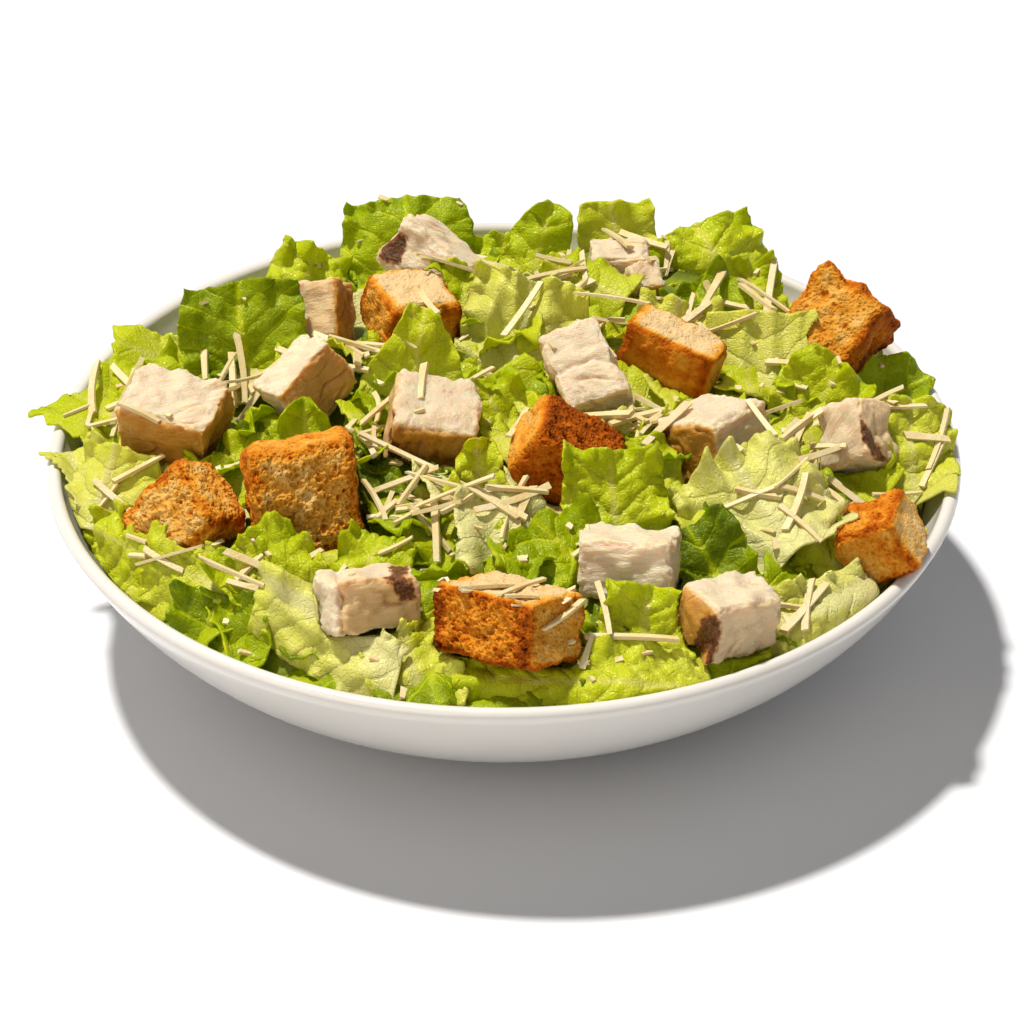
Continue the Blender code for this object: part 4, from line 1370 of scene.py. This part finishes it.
cheese = {
    "clusters": (  # where the shreds fell, mm: middle, spread, how many
        (-92, 12, 9, 9), (-62, 10, 12, 14), (-36, 14, 10, 9), (-86, -20, 8, 4), (-75, -50, 8, 4),
        (-24, -14, 10, 7), (-16, -42, 12, 18), (3, -40, 9, 9), (-52, -62, 10, 5), (2, -84, 9, 5),
        (20, -88, 7, 4), (33, -10, 7, 9), (62, -8, 9, 9), (78, -24, 10, 10), (64, -42, 12, 6),
        (24, 26, 9, 7), (44, 34, 9, 8), (58, 44, 9, 8), (12, 50, 11, 8), (-20, 46, 10, 6),
        (-56, 44, 10, 5), (30, 68, 9, 5), (92, -2, 7, 5), (68, -72, 8, 3), (0, 0, 50, 18),
    ),
    "lengths": (5, 20),  # mm
    "widths": (0.9, 1.7),
    "thickness": (0.5, 0.95),
    "slope": 0.6,
    "crumbs": 190,
    "crumbSizes": ((1.2, 3.4), (0.7, 1.4), (0.35, 0.7)),  # mm along, across and thick
    "toppingReach": 0.012,
    "cheesy": ("crouton_5", "crouton_6", "chicken_1", "chicken_9"),  # toppings with shreds on
    "bareReach": 0.011,
    "bareShare": 0.95,  # of the shreds that would touch any other topping are left out
    "ends": (-0.4, 0.4),  # where along a shred a topping is looked for
    "reach": 97,  # mm
    "steps": 12,
    "cuts": 5,
    "tries": 400,
    "headRoom": 0.0015,
    "crumbRoom": 0.0025,
    "crumbShare": 0.85,
    "sink": 0.45,  # of a shred's thickness
    "lean": 0.6,
    "bend": 0.022,
    "sag": 0.012,
    "taper": 0.18,
    "slant": 0.5,
    "uneven": (2.4, 0.10),
}


def surfaceTree():
    graph = bpy.context.evaluated_depsgraph_get()
    points, faces = [], []
    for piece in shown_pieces():
        if piece.name == "whiteBowl":
            continue
        mesh = piece.evaluated_get(graph).data
        start = len(points)
        points += [v.co.copy() for v in mesh.vertices]
        faces += [[start + k for k in p.vertices] for p in mesh.polygons]
    return BVHTree.FromPolygons(points, faces)


def topOf(tree, x, y):
    hit = tree.ray_cast(Vector((x, y, 0.2)), Vector((0, 0, -1)))[0]
    return hit.z if hit else None


def onTopping(x, y, reach, bare=False):
    # bare leaves out the few toppings that shreds fell on
    pieces = [c for c in croutons + chicken if not (bare and c.name in cheese["cheesy"])]
    return any((Vector(c.centre[:2]) * mm - Vector((x, y))).length < reach for c in pieces)


def restingLine(tree, x, y, heading, length):
    # the line on which a stiff shred settles: it bridges the two highest supports about its middle
    steps = cheese["steps"]
    along = [length * (k / steps - 0.5) for k in range(steps + 1)]
    tops = [topOf(tree, x + d * math.cos(heading), y + d * math.sin(heading)) for d in along]
    if None in tops:
        return None
    half = steps // 2
    best = None
    for a in range(half):
        for b in range(half + 1, steps + 1):
            slope = (tops[b] - tops[a]) / (along[b] - along[a])
            line = [tops[a] + slope * (d - along[a]) for d in along]
            if all(z >= top - 1e-6 for z, top in zip(line, tops)):
                if best is None or line[half] < best[0]:
                    best = (line[half], slope)
    if best is None or abs(best[1]) > cheese["slope"]:
        return None
    return best


def plainBar():
    # a long four-sided bar along X, cut across so that it can bend
    bm = bmesh.new()
    bmesh.ops.create_cube(bm, size=2)
    long = [e for e in bm.edges if abs(e.verts[0].co.x - e.verts[1].co.x) > 1]
    bmesh.ops.subdivide_edges(bm, edges=long, cuts=cheese["cuts"])
    bar = bpy.data.meshes.new("bar")
    bm.to_mesh(bar)
    bm.free()
    return bar


def eitherWay(rng, most):
    return rng.uniform(-most, most)


def layShred(bm, bar, tree, rng, x, y):
    heading = rng.uniform(0, math.pi)
    length = rng.uniform(*cheese["lengths"]) * mm
    rest = restingLine(tree, x, y, heading, length)
    if rest is None:
        return False
    ends = [s * length for s in cheese["ends"]]
    spots = [(x + e * math.cos(heading), y + e * math.sin(heading)) for e in ends] + [(x, y)]
    if any(onTopping(*spot, cheese["bareReach"], bare=True) for spot in spots):
        if rng.random() < cheese["bareShare"]:
            return False
    height, slope = rest
    if max(height, height + abs(slope) * length / 2) > cadBox[1].z - cheese["headRoom"]:
        return False
    width = rng.uniform(*cheese["widths"]) * mm
    thick = rng.uniform(*cheese["thickness"]) * mm
    way = Vector((math.cos(heading), math.sin(heading), slope)).normalized()
    side = Vector((0, 0, 1)).cross(way).normalized()
    side = Matrix.Rotation(eitherWay(rng, cheese["lean"]), 3, way) @ side
    up = way.cross(side)
    middle = Vector((x, y, height + thick * cheese["sink"]))
    bend, sag = rng.gauss(0, cheese["bend"]), rng.gauss(0, cheese["sag"])
    taper, slant = eitherWay(rng, cheese["taper"]), eitherWay(rng, cheese["slant"])
    seed = rng.uniform(0, 50)
    fine, unevenness = cheese["uneven"]
    bm.from_mesh(bar)
    bm.verts.ensure_lookup_table()
    for vert in bm.verts[-len(bar.vertices):]:
        a, b, c = vert.co
        uneven = 1 + taper * a + unevenness * noise.noise(Vector((a * fine, seed, b)))
        across = b * width / 2 * uneven
        run = a * length / 2 + slant * across * abs(a)
        curve = (bend * side + sag * up) * length * (1 - a * a)
        vert.co = middle + way * run + side * across + up * c * thick / 2 * uneven + curve
    return True


def makeShreds(tree, material):
    rng = random.Random(8)
    bm, bar = bmesh.new(), plainBar()
    for middleX, middleY, spread, count in cheese["clusters"]:
        laid = tries = 0
        while laid < count and tries < cheese["tries"]:
            tries += 1
            x, y = rng.gauss(middleX, spread / 2) * mm, rng.gauss(middleY, spread / 2) * mm
            laid += layShred(bm, bar, tree, rng, x, y)
    bmesh.ops.recalc_face_normals(bm, faces=bm.faces[:])
    standFor(finishMesh(bm, "cheeseShreds", material, shiny=False), ["lettuce_heap"])


def makeCrumbs(tree, material):
    # broken ends of shreds: small slabs with uneven corners
    rng = random.Random(21)
    bm = bmesh.new()
    count = 0
    while count < cheese["crumbs"]:
        out = cheese["reach"] * math.sqrt(rng.random())
        x, y = (c * mm for c in roundSpot(out, rng.uniform(0, math.tau)))
        top = topOf(tree, x, y)
        if top is None or top > cadBox[1].z - cheese["crumbRoom"]:
            continue
        if onTopping(x, y, cheese["toppingReach"]) and rng.random() < cheese["crumbShare"]:
            continue
        stretch = Vector([rng.uniform(*span) for span in cheese["crumbSizes"]]) * mm
        made = bmesh.ops.create_cube(bm, size=1)["verts"]
        turn = Matrix.Rotation(rng.uniform(0, math.pi), 3, "Z")
        turn @= Matrix.Rotation(eitherWay(rng, 0.5), 3, "X")
        turn @= Matrix.Rotation(eitherWay(rng, 0.4), 3, "Y")
        for vert in made:
            uneven = Vector([1 + eitherWay(rng, 0.3) for _ in range(3)])
            vert.co = turn @ (vert.co * stretch * uneven) + Vector((x, y, top + stretch.z * 0.5))
        count += 1
    bmesh.ops.recalc_face_normals(bm, faces=bm.faces[:])
    standFor(finishMesh(bm, "cheeseCrumbs", material, shiny=False), ["lettuce_heap"])


def cheeseMaterial():
    material, sheet = newMaterial("hard cheese")
    place = objectPlace(sheet)
    cloud = place.noise(150, 3)
    fine = place.noise(1400, 2)
    colour = (cloud + (fine - 0.5) * 0.3).ramp([
        (0.30, (0.660, 0.500, 0.215)),
        (0.50, (0.710, 0.580, 0.300)),
        (0.72, (0.735, 0.640, 0.405)),
    ])
    skin = {
        "Base Color": colour,
        "Roughness": 0.5,
        "Normal": bump(sheet, fine, 0.00018, 0.8),
        "Subsurface Weight": 0.2,
        "Subsurface Radius": (1.0, 0.7, 0.35),
        "Subsurface Scale": 0.0012,
    }
    setSkin(sheet, skin)
    return material


tree = surfaceTree()
hardCheese = cheeseMaterial()
makeShreds(tree, hardCheese)
makeCrumbs(tree, hardCheese)
print("cheese")
